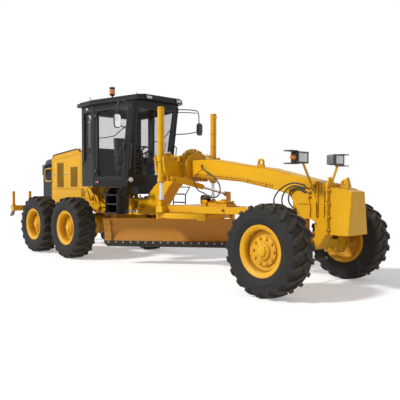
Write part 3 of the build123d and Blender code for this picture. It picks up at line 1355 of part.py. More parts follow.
NODES = {
    "rear_frame": make_rear_frame(),
    "engine": make_engine(),
    "hood": make_hood(),
    "radiator_guard": make_radiator_guard(),
    "exhaust": make_exhaust(),
    "cab_floor": make_cab_floor(),
    "cab_frame": make_cab_frame(),
    "cab_roof": make_cab_roof(),
    "cab_glass": make_cab_glass(),
    "seat": make_seat(),
    "mirrors": make_mirrors(),
    "steps": make_steps(),
    "front_frame": make_front_frame(),
    "saddle": make_saddle(),
    "nose_block": make_nose_block(),
    "lifting_eyes": make_lifting_eyes(),
    "head_lamps": make_head_lamps(),
    "hoses": make_hoses(),
    "front_axle": make_front_axle(),
    "lean_bar": make_lean_bar(),
    "tie_rod": make_tie_rod(),
    "drawbar_ball": make_drawbar_ball(),
    "drawbar": make_drawbar(),
    "circle": make_circle(),
    "blade_carrier": make_blade_carrier(),
    "moldboard": make_moldboard(),
    "cutting_edge": make_cutting_edge(),
    "shift_barrel": make_shift_barrel(),
    "shift_rod": make_shift_rod(),
    "ripper": make_ripper(),
    "ripper_barrel": make_ripper_barrel(),
    "ripper_rod": make_ripper_rod(),
}

SIDED = {
    "door": make_door(),
    "tandem_case": make_tandem_case(),
    "lean_bracket": make_lean_bracket(),
    "knuckle": make_knuckle(),
    "lift_barrel": make_lift_barrel(),
    "lift_rod": make_lift_rod(),
    "artic_barrel": make_artic_barrel(),
    "artic_rod": make_artic_rod(),
}
for name, part in SIDED.items():
    NODES[f"{name}_left"] = part
    NODES[f"{name}_right"] = mirrored(part)

tyre = make_tyre()
front_rim = make_rim(FRONT_DISC_Y, FRONT_DISC_Y + 70, SPINDLE_R)
rear_rim = make_rim(REAR_DISC_Y, REAR_DISC_Y + 95, REAR_SPINDLE_R)
WHEELS = (
    # name, x, rim
    ("front", FRONT_AXLE_X, front_rim),
    ("middle", TANDEM_X + TANDEM_SPACING / 2, rear_rim),
    ("rear", TANDEM_X - TANDEM_SPACING / 2, rear_rim),
)
for name, x, rim in WHEELS:
    NODES[f"tyre_{name}_right"] = Pos(x, -WHEEL_Y, AXLE_Z) * tyre
    NODES[f"tyre_{name}_left"] = Pos(x, WHEEL_Y, AXLE_Z) * tyre
    NODES[f"rim_{name}_right"] = Pos(x, -WHEEL_Y, AXLE_Z) * rim
    NODES[f"rim_{name}_left"] = Pos(x, WHEEL_Y, AXLE_Z) * mirrored(rim)

for name, part in NODES.items():
    export_step(part, f"parts/{name}.step")
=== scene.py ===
"""Looks of the motor grader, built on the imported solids. Metres, in the same frame as the part."""
from math import atan2, cos, hypot, pi, radians, sin
import bmesh
import bpy
import numpy as np
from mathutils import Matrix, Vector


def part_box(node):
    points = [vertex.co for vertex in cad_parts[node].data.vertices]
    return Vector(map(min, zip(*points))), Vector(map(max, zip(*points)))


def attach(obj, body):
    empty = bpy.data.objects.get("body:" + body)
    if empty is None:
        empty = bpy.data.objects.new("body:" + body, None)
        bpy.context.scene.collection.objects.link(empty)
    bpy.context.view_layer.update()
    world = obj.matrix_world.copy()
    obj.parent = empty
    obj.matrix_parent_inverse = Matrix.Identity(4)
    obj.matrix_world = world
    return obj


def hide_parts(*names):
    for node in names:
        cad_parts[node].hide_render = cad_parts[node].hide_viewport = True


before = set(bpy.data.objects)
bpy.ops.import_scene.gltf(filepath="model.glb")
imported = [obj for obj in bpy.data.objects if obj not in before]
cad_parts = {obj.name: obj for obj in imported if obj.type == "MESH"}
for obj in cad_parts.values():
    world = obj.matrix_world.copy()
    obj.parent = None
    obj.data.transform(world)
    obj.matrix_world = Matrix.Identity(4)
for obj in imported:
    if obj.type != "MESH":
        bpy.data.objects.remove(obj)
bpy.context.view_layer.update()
scene = bpy.context.scene

# ---- Camera ----------------------------------------------------------------------------------
# Standing eye height, off the right front corner, looking back along the machine, which stands whole
# in the frame.
camera = bpy.data.objects.new("camera", bpy.data.cameras.new("camera"))
camera.location = (8.673, -6.676, 1.573)
camera.rotation_euler = (radians(90 - 1.594), 0, radians(46.57))
camera.data.lens = 45.62
camera.data.sensor_width = 36
scene.collection.objects.link(camera)
scene.camera = camera

# ---- Hoses -----------------------------------------------------------------------------------
# Rubber hydraulic hoses: one slings from the beam round to the circle's drive, three hang at
# the head. Each is one smooth line from crimped fitting to crimped fitting.
HOSE_ROUTES = {
    "hose_drive": [
        (1850, -180, 1950), (1930, -262, 1885), (2100, -262, 1825), (2265, -262, 1740),
        (2385, -262, 1628), (2428, -262, 1500), (2365, -262, 1385), (2240, -262, 1358),
        (2112, -262, 1388), (1985, -262, 1450), (1852, -262, 1478), (1762, -262, 1572),
        (1738, -262, 1700), (1715, -180, 1790),
    ],
    "hose_head_1": [
        (4205, -240, 1575), (4120, -285, 1612), (3985, -285, 1622), (3830, -285, 1572),
        (3695, -285, 1475), (3610, -280, 1350), (3620, -225, 1215), (3700, -165, 1105),
        (3830, -115, 1040),
    ],
    "hose_head_2": [
        (4205, -240, 1515), (4120, -257, 1560), (3995, -257, 1580), (3865, -257, 1530),
        (3775, -257, 1425), (3755, -250, 1300), (3800, -205, 1195), (3890, -135, 1130),
    ],
    "hose_head_3": [
        (4205, -225, 1455), (4120, -229, 1520), (4000, -229, 1540), (3905, -229, 1480),
        (3862, -229, 1375), (3885, -205, 1265), (3960, -135, 1185),
    ],
}
HOSE_DIAMETER = 0.024


def node_kit(name):
    """New material with its Principled shader; also a maker of nodes that links what it is given."""
    material = bpy.data.materials.new(name)
    material.use_nodes = True
    tree = material.node_tree
    shader = tree.nodes["Principled BSDF"]

    def node(kind, inputs=(), **settings):
        """One node of this kind; an input is a value, or a socket to link."""
        made = tree.nodes.new("ShaderNode" + kind)
        for key, value in settings.items():
            setattr(made, key, value)
        for socket, value in dict(inputs).items():
            if isinstance(value, bpy.types.NodeSocket):
                tree.links.new(value, made.inputs[socket])
            else:
                made.inputs[socket].default_value = value
        return made.outputs[0]

    return material, shader, node, tree.links.new


def ramp(node, value, low, high, soft=False):
    """0 below low, 1 above high, straight or eased between."""
    return node("MapRange", {0: value, 1: low, 2: high, 3: 0.0, 4: 1.0},
                interpolation_type="SMOOTHSTEP" if soft else "LINEAR")


def blend_colour(node, share, first, second):
    """Mix of two colours by a share from 0 to 1."""
    made = node("MixRGB", {0: share, 1: first, 2: second})
    return made


def rubber_hose(name, colour):
    """Matt rubber with a faint ply pattern, scuffs and a film of dust on top."""
    material, shader, node, link = node_kit(name)
    place = node("TexCoord")
    coords = place.node.outputs["Object"]
    grime = node("TexNoise", {"Vector": coords, "Scale": 30.0, "Detail": 6.0})
    up = node("SeparateXYZ", {0: node("NewGeometry").node.outputs["Normal"]}).node.outputs["Z"]
    dust = node("Math", {0: ramp(node, up, 0.1, 1.0), 1: ramp(node, grime, 0.35, 0.7)}, operation="MULTIPLY")
    tone = blend_colour(node, node("Math", {0: dust, 1: 0.55}, operation="MULTIPLY"), colour,
                        (0.33, 0.27, 0.19, 1))
    link(tone, shader.inputs["Base Color"])
    link(node("MapRange", {0: grime, 1: 0.3, 2: 0.7, 3: 0.5, 4: 0.8}), shader.inputs["Roughness"])
    weave = node("TexVoronoi", {"Vector": coords, "Scale": 420.0})
    link(node("Bump", {"Height": weave, "Strength": 0.12, "Distance": 0.001}), shader.inputs["Normal"])
    return material


hose_rubber = rubber_hose("hose_rubber", (0.022, 0.022, 0.023, 1))


def lay_hose(name, route, diameter):
    """Smooth line with the route's points as its control points, as a round tube."""
    curve = bpy.data.curves.new(name, "CURVE")
    curve.dimensions = "3D"
    line = curve.splines.new("NURBS")
    line.points.add(len(route) - 1)
    line.points.foreach_set("co", np.column_stack([np.array(route) / 1000, np.ones(len(route))]).ravel())
    line.order_u = 3
    line.use_endpoint_u = True
    line.resolution_u = 8
    curve.bevel_depth = diameter / 2
    curve.bevel_resolution = 4
    curve.use_fill_caps = True
    curve.materials.append(hose_rubber)
    hose = bpy.data.objects.new(name, curve)
    scene.collection.objects.link(hose)
    return hose


def line_length(hose):
    """Length of a curve's own line, added up along its evaluated points."""
    bare = hose.data.copy()
    bare.bevel_depth = 0
    probe = bpy.data.objects.new("probe", bare)
    mesh = bpy.data.meshes.new_from_object(probe)
    points = np.array([v.co for v in mesh.vertices])
    bpy.data.objects.remove(probe)
    return float(np.linalg.norm(np.diff(points, axis=0), axis=1).sum())


for hose_name, route in HOSE_ROUTES.items():
    hose = lay_hose(hose_name, route, HOSE_DIAMETER)
    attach(hose, "front_frame")
    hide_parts("hoses")
    hose_length = line_length(hose)

# ---- Studio ----------------------------------------------------------------------------------
# Plain pale floor and sky, lit by one soft sun, a weak broad fill and the sky's own light. The floor
# is scattering paint that also glows when looked at straight, so that it stays as pale as the sky.
floor = bpy.data.objects.new("floor", bpy.data.meshes.new("floor"))
FLOOR_REACH = 400.0
floor.data.from_pydata(
    [(-FLOOR_REACH, -FLOOR_REACH, 0), (FLOOR_REACH, -FLOOR_REACH, 0), (FLOOR_REACH, FLOOR_REACH, 0),
     (-FLOOR_REACH, FLOOR_REACH, 0)],
    [], [(0, 1, 2, 3)],
)
scene.collection.objects.link(floor)
floor_paint, shader, node, link = node_kit("floor_paint")
shader.inputs["Base Color"].default_value = (0.88, 0.88, 0.875, 1)
shader.inputs["Roughness"].default_value = 0.9
shader.inputs["Specular IOR Level"].default_value = 0.05
# the floor is seen as pale as the sky, but gives the machine only the light that it scatters
floor_seen = node("LightPath").node
direct = node("Math", {0: floor_seen.outputs["Is Camera Ray"], 1: floor_seen.outputs["Is Glossy Ray"]},
              operation="MAXIMUM")
direct = node("Math", {0: direct, 1: floor_seen.outputs["Is Transmission Ray"]}, operation="MAXIMUM")
shader.inputs["Emission Color"].default_value = (1, 1, 1, 1)
link(node("Math", {0: direct, 1: 0.34}, operation="MULTIPLY"), shader.inputs["Emission Strength"])
floor.data.materials.append(floor_paint)

world = bpy.data.worlds.new("sky")
scene.world = world
world.use_nodes = True
sky = world.node_tree
seen = sky.nodes.new("ShaderNodeLightPath")
straight = sky.nodes.new("ShaderNodeMath")
straight.operation = "MAXIMUM"
sky.links.new(seen.outputs["Is Camera Ray"], straight.inputs[0])
sky.links.new(seen.outputs["Is Transmission Ray"], straight.inputs[1])
mirrored = sky.nodes.new("ShaderNodeMath")
mirrored.operation = "MAXIMUM"
sky.links.new(straight.outputs[0], mirrored.inputs[0])
sky.links.new(seen.outputs["Is Glossy Ray"], mirrored.inputs[1])
backdrop = sky.nodes.new("ShaderNodeMixRGB")
backdrop.inputs[1].default_value = (0.27, 0.275, 0.285, 1)
backdrop.inputs[2].default_value = (1.0, 1.0, 1.0, 1)
sky.links.new(mirrored.outputs[0], backdrop.inputs[0])
sky.links.new(backdrop.outputs[0], sky.nodes["Background"].inputs["Color"])
for lamp_name, strength, turn, soft in (
    ("sun", 2.75, (radians(53), 0, radians(-20)), 7),
    ("fill", 0.10, (radians(60), 0, radians(75)), 50),
):
    lamp = bpy.data.objects.new(lamp_name, bpy.data.lights.new(lamp_name, "SUN"))
    lamp.data.energy = strength
    lamp.data.angle = radians(soft)
    lamp.rotation_euler = turn
    scene.collection.objects.link(lamp)
scene.view_settings.view_transform = "Standard"

# ---- Enamel on the frame ---------------------------------------------------------------------
# Welded and machined steel under sprayed enamel. Dust lies on what faces up and near the ground,
# grime mixed with painted shade darkens the corners and the enamel has worn thin on the edges.


def enamel(name, colour, worn, gloss=0.4, dusty=1.0, rub=1.0):
    """Enamel: cloudy tone, streaks running down, dust by slope and height, grime and painted
    shade in corners, a thin worn line where two faces meet."""
    material, shader, node, link = node_kit(name)
    coords = node("TexCoord").node.outputs["Object"]
    place = node("SeparateXYZ", {0: coords})
    height = place.node.outputs["Z"]
    clouds = node("TexNoise", {"Vector": coords, "Scale": 1.7, "Detail": 4.0, "Roughness": 0.6})
    patches = node("TexNoise", {"Vector": coords, "Scale": 9.0, "Detail": 8.0, "Roughness": 0.7})
    specks = node("TexNoise", {"Vector": coords, "Scale": 70.0, "Detail": 3.0})
    runs = node("TexNoise", {"Vector": node("Mapping", {0: coords, 3: (26.0, 26.0, 1.6)}), "Scale": 1.0,
                             "Detail": 3.0})
    soft_edge = node("Bevel", {"Radius": 0.007}, samples=4)
    flat = node("NewGeometry").node.outputs["Normal"]
    facing = node("VectorMath", {0: soft_edge, 1: flat}, operation="DOT_PRODUCT").node.outputs["Value"]
    edge = ramp(node, facing, 0.985, 0.80)
    corner = node("AmbientOcclusion", {"Distance": 0.11}, samples=4).node.outputs["AO"]
    slope = node("SeparateXYZ", {0: flat}).node.outputs["Z"]
    # tone
    tone = blend_colour(node, ramp(node, clouds, 0.35, 0.7), [c * 0.93 for c in colour[:3]] + [1], colour)
    tone = blend_colour(node, node("Math", {0: ramp(node, runs, 0.52, 0.72), 1: 0.22}, operation="MULTIPLY"),
                        tone, [c * 0.72 for c in colour[:3]] + [1])
    # dust: what faces up, and whatever stands low
    on_top = node("Math", {0: ramp(node, slope, 0.35, 0.98), 1: ramp(node, patches, 0.38, 0.66)},
                  operation="MULTIPLY")
    low = node("Math", {0: ramp(node, height, 1.25, 0.25), 1: ramp(node, patches, 0.30, 0.72)},
               operation="MULTIPLY")
    dust = node("Math", {0: on_top, 1: low}, operation="MAXIMUM")
    dust = node("Math", {0: dust, 1: 0.42 * dusty}, operation="MULTIPLY")
    tone = blend_colour(node, dust, tone, (0.46, 0.36, 0.24, 1))
    # painted shade in the corners, mixed with grime: darker brown where the ambient occlusion is low
    corner_shade_and_grime = node("Math", {0: ramp(node, corner, 0.86, 0.35), 1: ramp(node, specks, 0.25, 0.62)},
                operation="MULTIPLY")
    tone = blend_colour(node, node("Math", {0: corner_shade_and_grime, 1: 0.55}, operation="MULTIPLY"), tone,
                        (0.075, 0.055, 0.035, 1))
    # worn edges
    wear = node("Math", {0: edge, 1: ramp(node, patches, 0.47, 0.62)}, operation="MULTIPLY")
    wear = node("Math", {0: wear, 1: 0.8 * rub}, operation="MULTIPLY")
    tone = blend_colour(node, wear, tone, worn)
    link(tone, shader.inputs["Base Color"])
    rough = node("MapRange", {0: patches, 1: 0.3, 2: 0.7, 3: gloss - 0.07, 4: gloss + 0.10})
    rough = node("Math", {0: rough, 1: node("Math", {0: dust, 1: 0.7}, operation="MULTIPLY")},
                 operation="ADD")
    link(rough, shader.inputs["Roughness"])
    shader.inputs["Specular IOR Level"].default_value = 0.28
    peel = node("TexNoise", {"Vector": coords, "Scale": 220.0, "Detail": 1.0})
    link(node("Bump", {"Height": peel, "Strength": 0.05, "Distance": 0.001, "Normal": soft_edge}),
         shader.inputs["Normal"])
    return material


machine_yellow = enamel("machine_yellow", (0.83, 0.425, 0.003, 1), (0.20, 0.13, 0.07, 1), gloss=0.36,
                        dusty=0.4, rub=0.8)
charcoal = enamel("charcoal", (0.0075, 0.0078, 0.0085, 1), (0.07, 0.07, 0.07, 1), gloss=0.33, dusty=0.35,
                  rub=0.6)
black_iron = enamel("black_iron", (0.017, 0.017, 0.018, 1), (0.13, 0.12, 0.11, 1), gloss=0.5, dusty=0.8)
step_grey = enamel("step_grey", (0.085, 0.083, 0.080, 1), (0.30, 0.29, 0.28, 1), gloss=0.5, dusty=1.0)


def paint(material, *names):
    """Puts a material on CAD nodes."""
    for name in names:
        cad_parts[name].data.materials.clear()
        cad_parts[name].data.materials.append(material)


# the moldboard, its end bits and their bolts wear the machine's yellow painted darker and redder: painted
# shade on the blade's face
shaded_blade_yellow = enamel("shaded_blade_yellow", (0.55, 0.215, 0.003, 1), (0.24, 0.19, 0.14, 1), gloss=0.34, dusty=0.9)
paint(shaded_blade_yellow, "moldboard")
SIDES = ("left", "right")
paint(
    machine_yellow, "rear_frame", "hood", "front_frame", "saddle", "nose_block", "lifting_eyes", "front_axle",
    "lean_bar", "drawbar", "circle", "blade_carrier", "ripper", "shift_barrel", "ripper_barrel",
    *(f"{part}_{side}" for part in ("tandem_case", "lean_bracket", "knuckle", "lift_barrel", "artic_barrel")
      for side in SIDES),
)
paint(charcoal, "cab_frame", "cab_roof", "mirrors", "door_left", "door_right", "cab_floor", "radiator_guard")
paint(black_iron, "engine", "seat", "hoses")


def steel(name, colour, rough, streak=(1, 1, 1), rust=0.0):
    """Bare steel: fine streaks along one way, tone in patches, some rust bloom."""
    material, shader, node, link = node_kit(name)
    coords = node("TexCoord").node.outputs["Object"]
    lines = node("TexNoise", {"Vector": node("Mapping", {0: coords, 3: streak}), "Scale": 60.0,
                              "Detail": 4.0})
    patches = node("TexNoise", {"Vector": coords, "Scale": 12.0, "Detail": 8.0, "Roughness": 0.7})
    tone = blend_colour(node, ramp(node, lines, 0.3, 0.7), [c * 0.75 for c in colour[:3]] + [1], colour)
    tone = blend_colour(node, node("Math", {0: ramp(node, patches, 0.5, 0.7), 1: rust}, operation="MULTIPLY"),
                        tone, (0.16, 0.075, 0.035, 1))
    link(tone, shader.inputs["Base Color"])
    shader.inputs["Metallic"].default_value = 0.9
    link(node("MapRange", {0: patches, 1: 0.3, 2: 0.7, 3: rough - 0.06, 4: rough + 0.12}),
         shader.inputs["Roughness"])
    soft_edge = node("Bevel", {"Radius": 0.004}, samples=4)
    link(node("Bump", {"Height": lines, "Strength": 0.06, "Distance": 0.001, "Normal": soft_edge}),
         shader.inputs["Normal"])
    return material


chrome = steel("chrome", (0.78, 0.78, 0.79, 1), 0.12, streak=(1, 1, 0.05))
edge_steel = steel("edge_steel", (0.20, 0.185, 0.17, 1), 0.42, rust=0.6)
stack_steel = steel("stack_steel", (0.25, 0.24, 0.235, 1), 0.40, rust=0.25)
paint(chrome, "lift_rod_left", "lift_rod_right", "shift_rod", "artic_rod_left", "artic_rod_right",
      "ripper_rod")
paint(edge_steel, "tie_rod", "drawbar_ball")
bare_black = enamel("bare_black", (0.006, 0.006, 0.006, 1), (0.035, 0.033, 0.030, 1), gloss=0.45,
                    dusty=0.25, rub=0.5)
paint(bare_black, "cutting_edge")
paint(stack_steel, "exhaust")

# ---- Tyres -----------------------------------------------------------------------------------
# Six cord-and-rubber traction tyres: round casing with slanted lugs meeting in a V along the tread,
# moulded in one with it, seated on the rim's beads.
TYRE_R = 0.665
AXLE_Z = 0.66469
WHEEL_Y = 1.0775
AXLES = {"front": 4.16, "middle": -1.291, "rear": -2.829}
LUGS_A_SIDE = 20
LUG_SKEW = 0.62
LUG_CREST = 0.075


def skin(name, rings, material, ring_loop=True, path_loop=False, caps=True, sharp=32):
    """Closed shells from rings of points, shape (copies, rings, points, 3): faces join each ring to the
    next, flat lids close both ends. Edges turning by more than sharp degrees stay crisp."""
    rings = np.asarray(rings, float)
    if rings.ndim == 3:
        rings = rings[None]
    copies, count, around = rings.shape[:3]
    index = np.arange(copies * count * around).reshape(copies, count, around)
    along = index if not path_loop else np.concatenate([index, index[:, :1]], axis=1)
    across = np.concatenate([along, along[:, :, :1]], axis=2) if ring_loop else along
    quads = np.stack([across[:, :-1, :-1], across[:, 1:, :-1], across[:, 1:, 1:], across[:, :-1, 1:]],
                     axis=-1)
    faces = quads.reshape(-1, 4).tolist()
    if caps and not path_loop:
        faces += index[:, 0].tolist() + index[:, -1, ::-1].tolist()
    mesh = bpy.data.meshes.new(name)
    mesh.from_pydata(rings.reshape(-1, 3), [], faces)
    edit = bmesh.new()
    edit.from_mesh(mesh)
    bmesh.ops.recalc_face_normals(edit, faces=edit.faces)
    limit = radians(sharp)
    for face in edit.faces:
        face.smooth = True
    for edge in edit.edges:
        edge.smooth = edge.calc_face_angle(0) < limit
    edit.to_mesh(mesh)
    edit.free()
    piece = bpy.data.objects.new(name, mesh)
    scene.collection.objects.link(piece)
    mesh.materials.append(material)
    return piece


def turned(profile, centre, sides, axis=(0, 1, 0)):
    """Rings of a turned shape: for each profile point (along, radius) a circle of that radius about the
    axis, that far along it from the centre."""
    profile = np.asarray(profile, float)
    axis = np.asarray(axis, float) / np.linalg.norm(axis)
    first = np.cross(axis, (0, 0, 1) if abs(axis[2]) < 0.9 else (1, 0, 0))
    first /= np.linalg.norm(first)
    second = np.cross(axis, first)
    turn = np.arange(sides) * 2 * pi / sides
    circle = np.cos(turn)[:, None] * first + np.sin(turn)[:, None] * second
    return np.asarray(centre) + profile[:, None, :1] * axis + profile[:, None, 1:] * circle[None]


def both_ways(half):
    """A profile given from the edge to the middle, carried on mirrored to the other edge."""
    half = np.asarray(half, float)
    return np.concatenate([half, (half * (-1, 1))[::-1][1 if half[-1, 0] == 0 else 0:]])


CASING = both_ways([
    (-0.150, 0.322), (-0.176, 0.330), (-0.184, 0.352), (-0.190, 0.376), (-0.203, 0.392), (-0.205, 0.400),
    (-0.213, 0.430), (-0.2175, 0.452), (-0.2215, 0.458), (-0.2215, 0.466), (-0.2195, 0.474), (-0.2205, 0.505),
    (-0.219, 0.540), (-0.214, 0.572), (-0.206, 0.596), (-0.192, 0.611), (-0.165, 0.622), (-0.10, 0.630),
    (-0.04, 0.634), (0.0, 0.635),
])


def lug_rings(side, shift):
    """One row of lugs. Stations run from past the middle outwards and down the shoulder; each station's
    ring is a tapered section, wider at its foot, set across the slanted line turn = skew * (y - crest)."""
    way = np.array([-0.022, 0.02, LUG_CREST, 0.125, 0.168, 0.200, 0.2195, 0.2215, 0.214])
    top = np.array([0.663, 0.6645, 0.6645, 0.663, 0.658, 0.645, 0.618, 0.580, 0.548])
    foot = np.array([0.622, 0.622, 0.620, 0.616, 0.610, 0.600, 0.585, 0.562, 0.540])
    inner = np.array([-0.022, 0.02, 0.075, 0.125, 0.160, 0.186, 0.200, 0.206, 0.207])
    half = np.array([0.024, 0.027, 0.029, 0.031, 0.033, 0.035, 0.036, 0.034, 0.028])
    slant = LUG_SKEW * (way - LUG_CREST)
    across = np.stack([-1.22 * half, -half, -half * 0.9, half * 0.9, half, 1.22 * half], axis=1)
    rise = np.array([0.0, 0.86, 1.0, 1.0, 0.86, 0.0])
    radius = foot[:, None] + (top - foot)[:, None] * rise
    y = inner[:, None] + (way - inner)[:, None] * rise
    angle = (slant[:, None] + across) / TYRE_R
    turns = (np.arange(LUGS_A_SIDE) + shift) * 2 * pi / LUGS_A_SIDE
    angle = angle[None] + turns[:, None, None]
    radius = np.broadcast_to(radius, angle.shape)
    y = np.broadcast_to(side * y, angle.shape)
    # the lugs' flat crests follow the round of the casing
    return np.stack([-radius * np.cos(angle), y, radius * np.sin(angle)], axis=-1)


def tyre_rubber(name):
    """Dusty black rubber: the tread is scrubbed brown, the sidewall keeps black with dust in its rings."""
    material, shader, node, link = node_kit(name)
    coords = node("TexCoord").node.outputs["Object"]
    tread = node("Attribute", attribute_name="tread").node.outputs["Fac"]
    patches = node("TexNoise", {"Vector": coords, "Scale": 6.0, "Detail": 8.0, "Roughness": 0.7})
    grain = node("TexNoise", {"Vector": coords, "Scale": 90.0, "Detail": 5.0})
    scrub = node("Math", {0: ramp(node, tread, 0.45, 0.95), 1: ramp(node, patches, 0.25, 0.65)},
                 operation="MULTIPLY")
    film = node("Math", {0: ramp(node, patches, 0.46, 0.78), 1: 0.26}, operation="MULTIPLY")
    corner = node("AmbientOcclusion", {"Distance": 0.06}, samples=4).node.outputs["AO"]
    caked = node("Math", {0: ramp(node, corner, 0.75, 0.30), 1: ramp(node, grain, 0.3, 0.6)},
                 operation="MULTIPLY")
    tone = blend_colour(node, ramp(node, grain, 0.3, 0.7), (0.006, 0.006, 0.006, 1), (0.015, 0.014, 0.013, 1))
    tone = blend_colour(node, film, tone, (0.105, 0.085, 0.062, 1))
    tone = blend_colour(node, node("Math", {0: scrub, 1: 0.55}, operation="MULTIPLY"), tone,
                        (0.11, 0.078, 0.048, 1))
    tone = blend_colour(node, node("Math", {0: caked, 1: 0.55}, operation="MULTIPLY"), tone,
                        (0.17, 0.13, 0.085, 1))
    link(tone, shader.inputs["Base Color"])
    link(node("MapRange", {0: patches, 1: 0.3, 2: 0.7, 3: 0.62, 4: 0.88}), shader.inputs["Roughness"])
    shader.inputs["Specular IOR Level"].default_value = 0.35
    link(node("Bump", {"Height": grain, "Strength": 0.25, "Distance": 0.0015}), shader.inputs["Normal"])
    return material


tyre_black = tyre_rubber("tyre_black")


def join(name, pieces):
    """Several pieces made one; the first one's name and finish come first."""
    meshes = [p.data for p in pieces]
    edit = bmesh.new()
    slots = []
    for mesh in meshes:
        start = len(edit.faces)
        edit.from_mesh(mesh)
        edit.faces.ensure_lookup_table()
        if mesh.materials[0] not in slots:
            slots.append(mesh.materials[0])
        for face in edit.faces[start:]:
            face.material_index = slots.index(mesh.materials[0])
    whole = bpy.data.meshes.new(name)
    edit.to_mesh(whole)
    edit.free()
    for slot_material in slots:
        whole.materials.append(slot_material)
    for p in pieces:
        bpy.data.objects.remove(p)
    for mesh in meshes:
        bpy.data.meshes.remove(mesh)
    made = bpy.data.objects.new(name, whole)
    scene.collection.objects.link(made)
    return made


casing_rings = turned(CASING, (0, 0, 0), 80)
lug_rows = np.concatenate([lug_rings(1, 0.25), lug_rings(-1, -0.25)])
for axle_name, axle_x in AXLES.items():
    for side_name, side in zip(SIDES, (1, -1)):
        hub = np.array([axle_x, side * WHEEL_Y, AXLE_Z])
        tyre = join(f"tyre_{axle_name}_{side_name}_rubber", [
            skin("casing", casing_rings + hub, tyre_black, path_loop=True, sharp=50),
            skin("lugs", lug_rows + hub, tyre_black, sharp=28),
        ])
        points = np.empty(len(tyre.data.vertices) * 3)
        tyre.data.vertices.foreach_get("co", points)
        spread = points.reshape(-1, 3) - hub
        tread = tyre.data.attributes.new("tread", "FLOAT", "POINT")
        tread.data.foreach_set("value", np.clip((np.hypot(spread[:, 0], spread[:, 2]) - 0.56) / 0.105, 0, 1))
        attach(tyre, f"wheel_{axle_name}_{side_name}")
        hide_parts(f"tyre_{axle_name}_{side_name}")

# ---- Rims ------------------------------------------------------------------------------------
# Rolled steel rims with a lock ring, a pressed disc welded in, and the hub bolted on by ten nuts.
# Each is turned about its axle, sprayed yellow, and rides on its own wheel's body.
RIM_BAND = [
    (0.193, 0.368), (0.186, 0.375), (0.178, 0.370), (0.174, 0.348), (0.168, 0.330), (0.150, 0.3175),
    (-0.150, 0.3175), (-0.168, 0.330), (-0.174, 0.348), (-0.178, 0.370), (-0.186, 0.375), (-0.193, 0.368),
    (-0.190, 0.350), (-0.180, 0.332), (-0.165, 0.312), (-0.150, 0.298), (0.150, 0.298), (0.158, 0.306),
    (0.163, 0.306), (0.168, 0.314), (0.182, 0.332), (0.191, 0.350),
]
NUTS_A_WHEEL = 10
NUT_CIRCLE_R = 0.182


def hex_heads(centres, axis, across, height, washer=1.45):
    """Bolt heads, all on one axis: a round washer, a six-sided head and its rounded top, one shell each."""
    axis = np.asarray(axis, float) / np.linalg.norm(axis)
    low = height * 0.22
    profile = [(-height * 0.4, across * washer / 2), (low, across * washer / 2), (low, across * 0.56),
               (height * 0.9, across * 0.56), (height, across * 0.47)]
    rings = turned(profile, (0, 0, 0), 12, axis)
    # every second corner of a head is pulled in to the flats
    flat = np.where(np.arange(12) % 2 == 1, cos(pi / 6) * 1.0, 1.0)
    along = np.einsum("ijk,k->ij", rings, axis)[..., None] * axis
    rings[2:] = along[2:] + (rings[2:] - along[2:]) * flat[None, :, None]
    return np.asarray(centres, float)[:, None, None, :] + rings[None]


def circle_of(count, radius, centre, axis=(0, 1, 0), start=0.0):
    """Points spread evenly round a circle about an axis."""
    ring = turned([(0, radius)], centre, 360, axis)[0]
    return ring[(np.arange(count) * 360 // count + int(start)) % 360]


rim_yellow = enamel("rim_yellow", (0.83, 0.420, 0.003, 1), (0.20, 0.13, 0.07, 1), gloss=0.42, dusty=0.5)
nut_steel = steel("nut_steel", (0.30, 0.27, 0.24, 1), 0.45, rust=0.5)
for axle_name, axle_x in AXLES.items():
    disc_w = 0.078 if axle_name == "front" else 0.020
    hub_w = disc_w + (0.070 if axle_name == "front" else 0.095)
    disc = [
        (disc_w - 0.024, 0.150), (disc_w - 0.024, 0.270), (disc_w - 0.034, 0.300), (disc_w - 0.012, 0.300),
        (disc_w + 0.004, 0.280), (disc_w + 0.004, 0.262), (disc_w - 0.004, 0.246), (disc_w - 0.001, 0.224),
        (disc_w, 0.150),
    ]
    hub_shape = [
        (disc_w - 0.02, 0.216), (disc_w + 0.020, 0.214), (disc_w + 0.026, 0.206), (disc_w + 0.026, 0.150),
        (disc_w + 0.032, 0.134), (hub_w - 0.012, 0.122), (hub_w - 0.004, 0.116), (hub_w, 0.108),
        (hub_w, 0.084), (hub_w + 0.004, 0.078), (hub_w + 0.018, 0.075), (hub_w + 0.026, 0.064),
        (hub_w + 0.026, 0.010),
    ]
    for side_name, side in zip(SIDES, (1, -1)):
        hub = np.array([axle_x, side * WHEEL_Y, AXLE_Z])
        outward = (0, side, 0)
        face = hub + np.array(outward) * (disc_w + 0.026)
        cap_face = hub + np.array(outward) * hub_w
        rim = join(f"rim_{axle_name}_{side_name}_steel", [
            skin("band", turned(RIM_BAND, hub, 72, outward), rim_yellow, path_loop=True, sharp=40),
            skin("disc", turned(disc, hub, 72, outward), rim_yellow, path_loop=True, sharp=40),
            skin("hub", turned(hub_shape, hub, 64, outward), rim_yellow, sharp=40),
            skin("cap_bolts", hex_heads(circle_of(8, 0.096, cap_face, outward), outward, 0.014, 0.009),
                 rim_yellow),
            skin("nuts", hex_heads(circle_of(NUTS_A_WHEEL, NUT_CIRCLE_R, face, outward), outward, 0.034,
                                   0.026),
                 rim_yellow),
        ])
        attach(rim, f"wheel_{axle_name}_{side_name}")
        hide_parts(f"rim_{axle_name}_{side_name}")

# ---- Glass -----------------------------------------------------------------------------------
# Flat safety glass let into the cab's frame and doors with rubber seals, lightly tinted, dusty
# towards the bottom. The fixed panes are the solid ones with this finish.


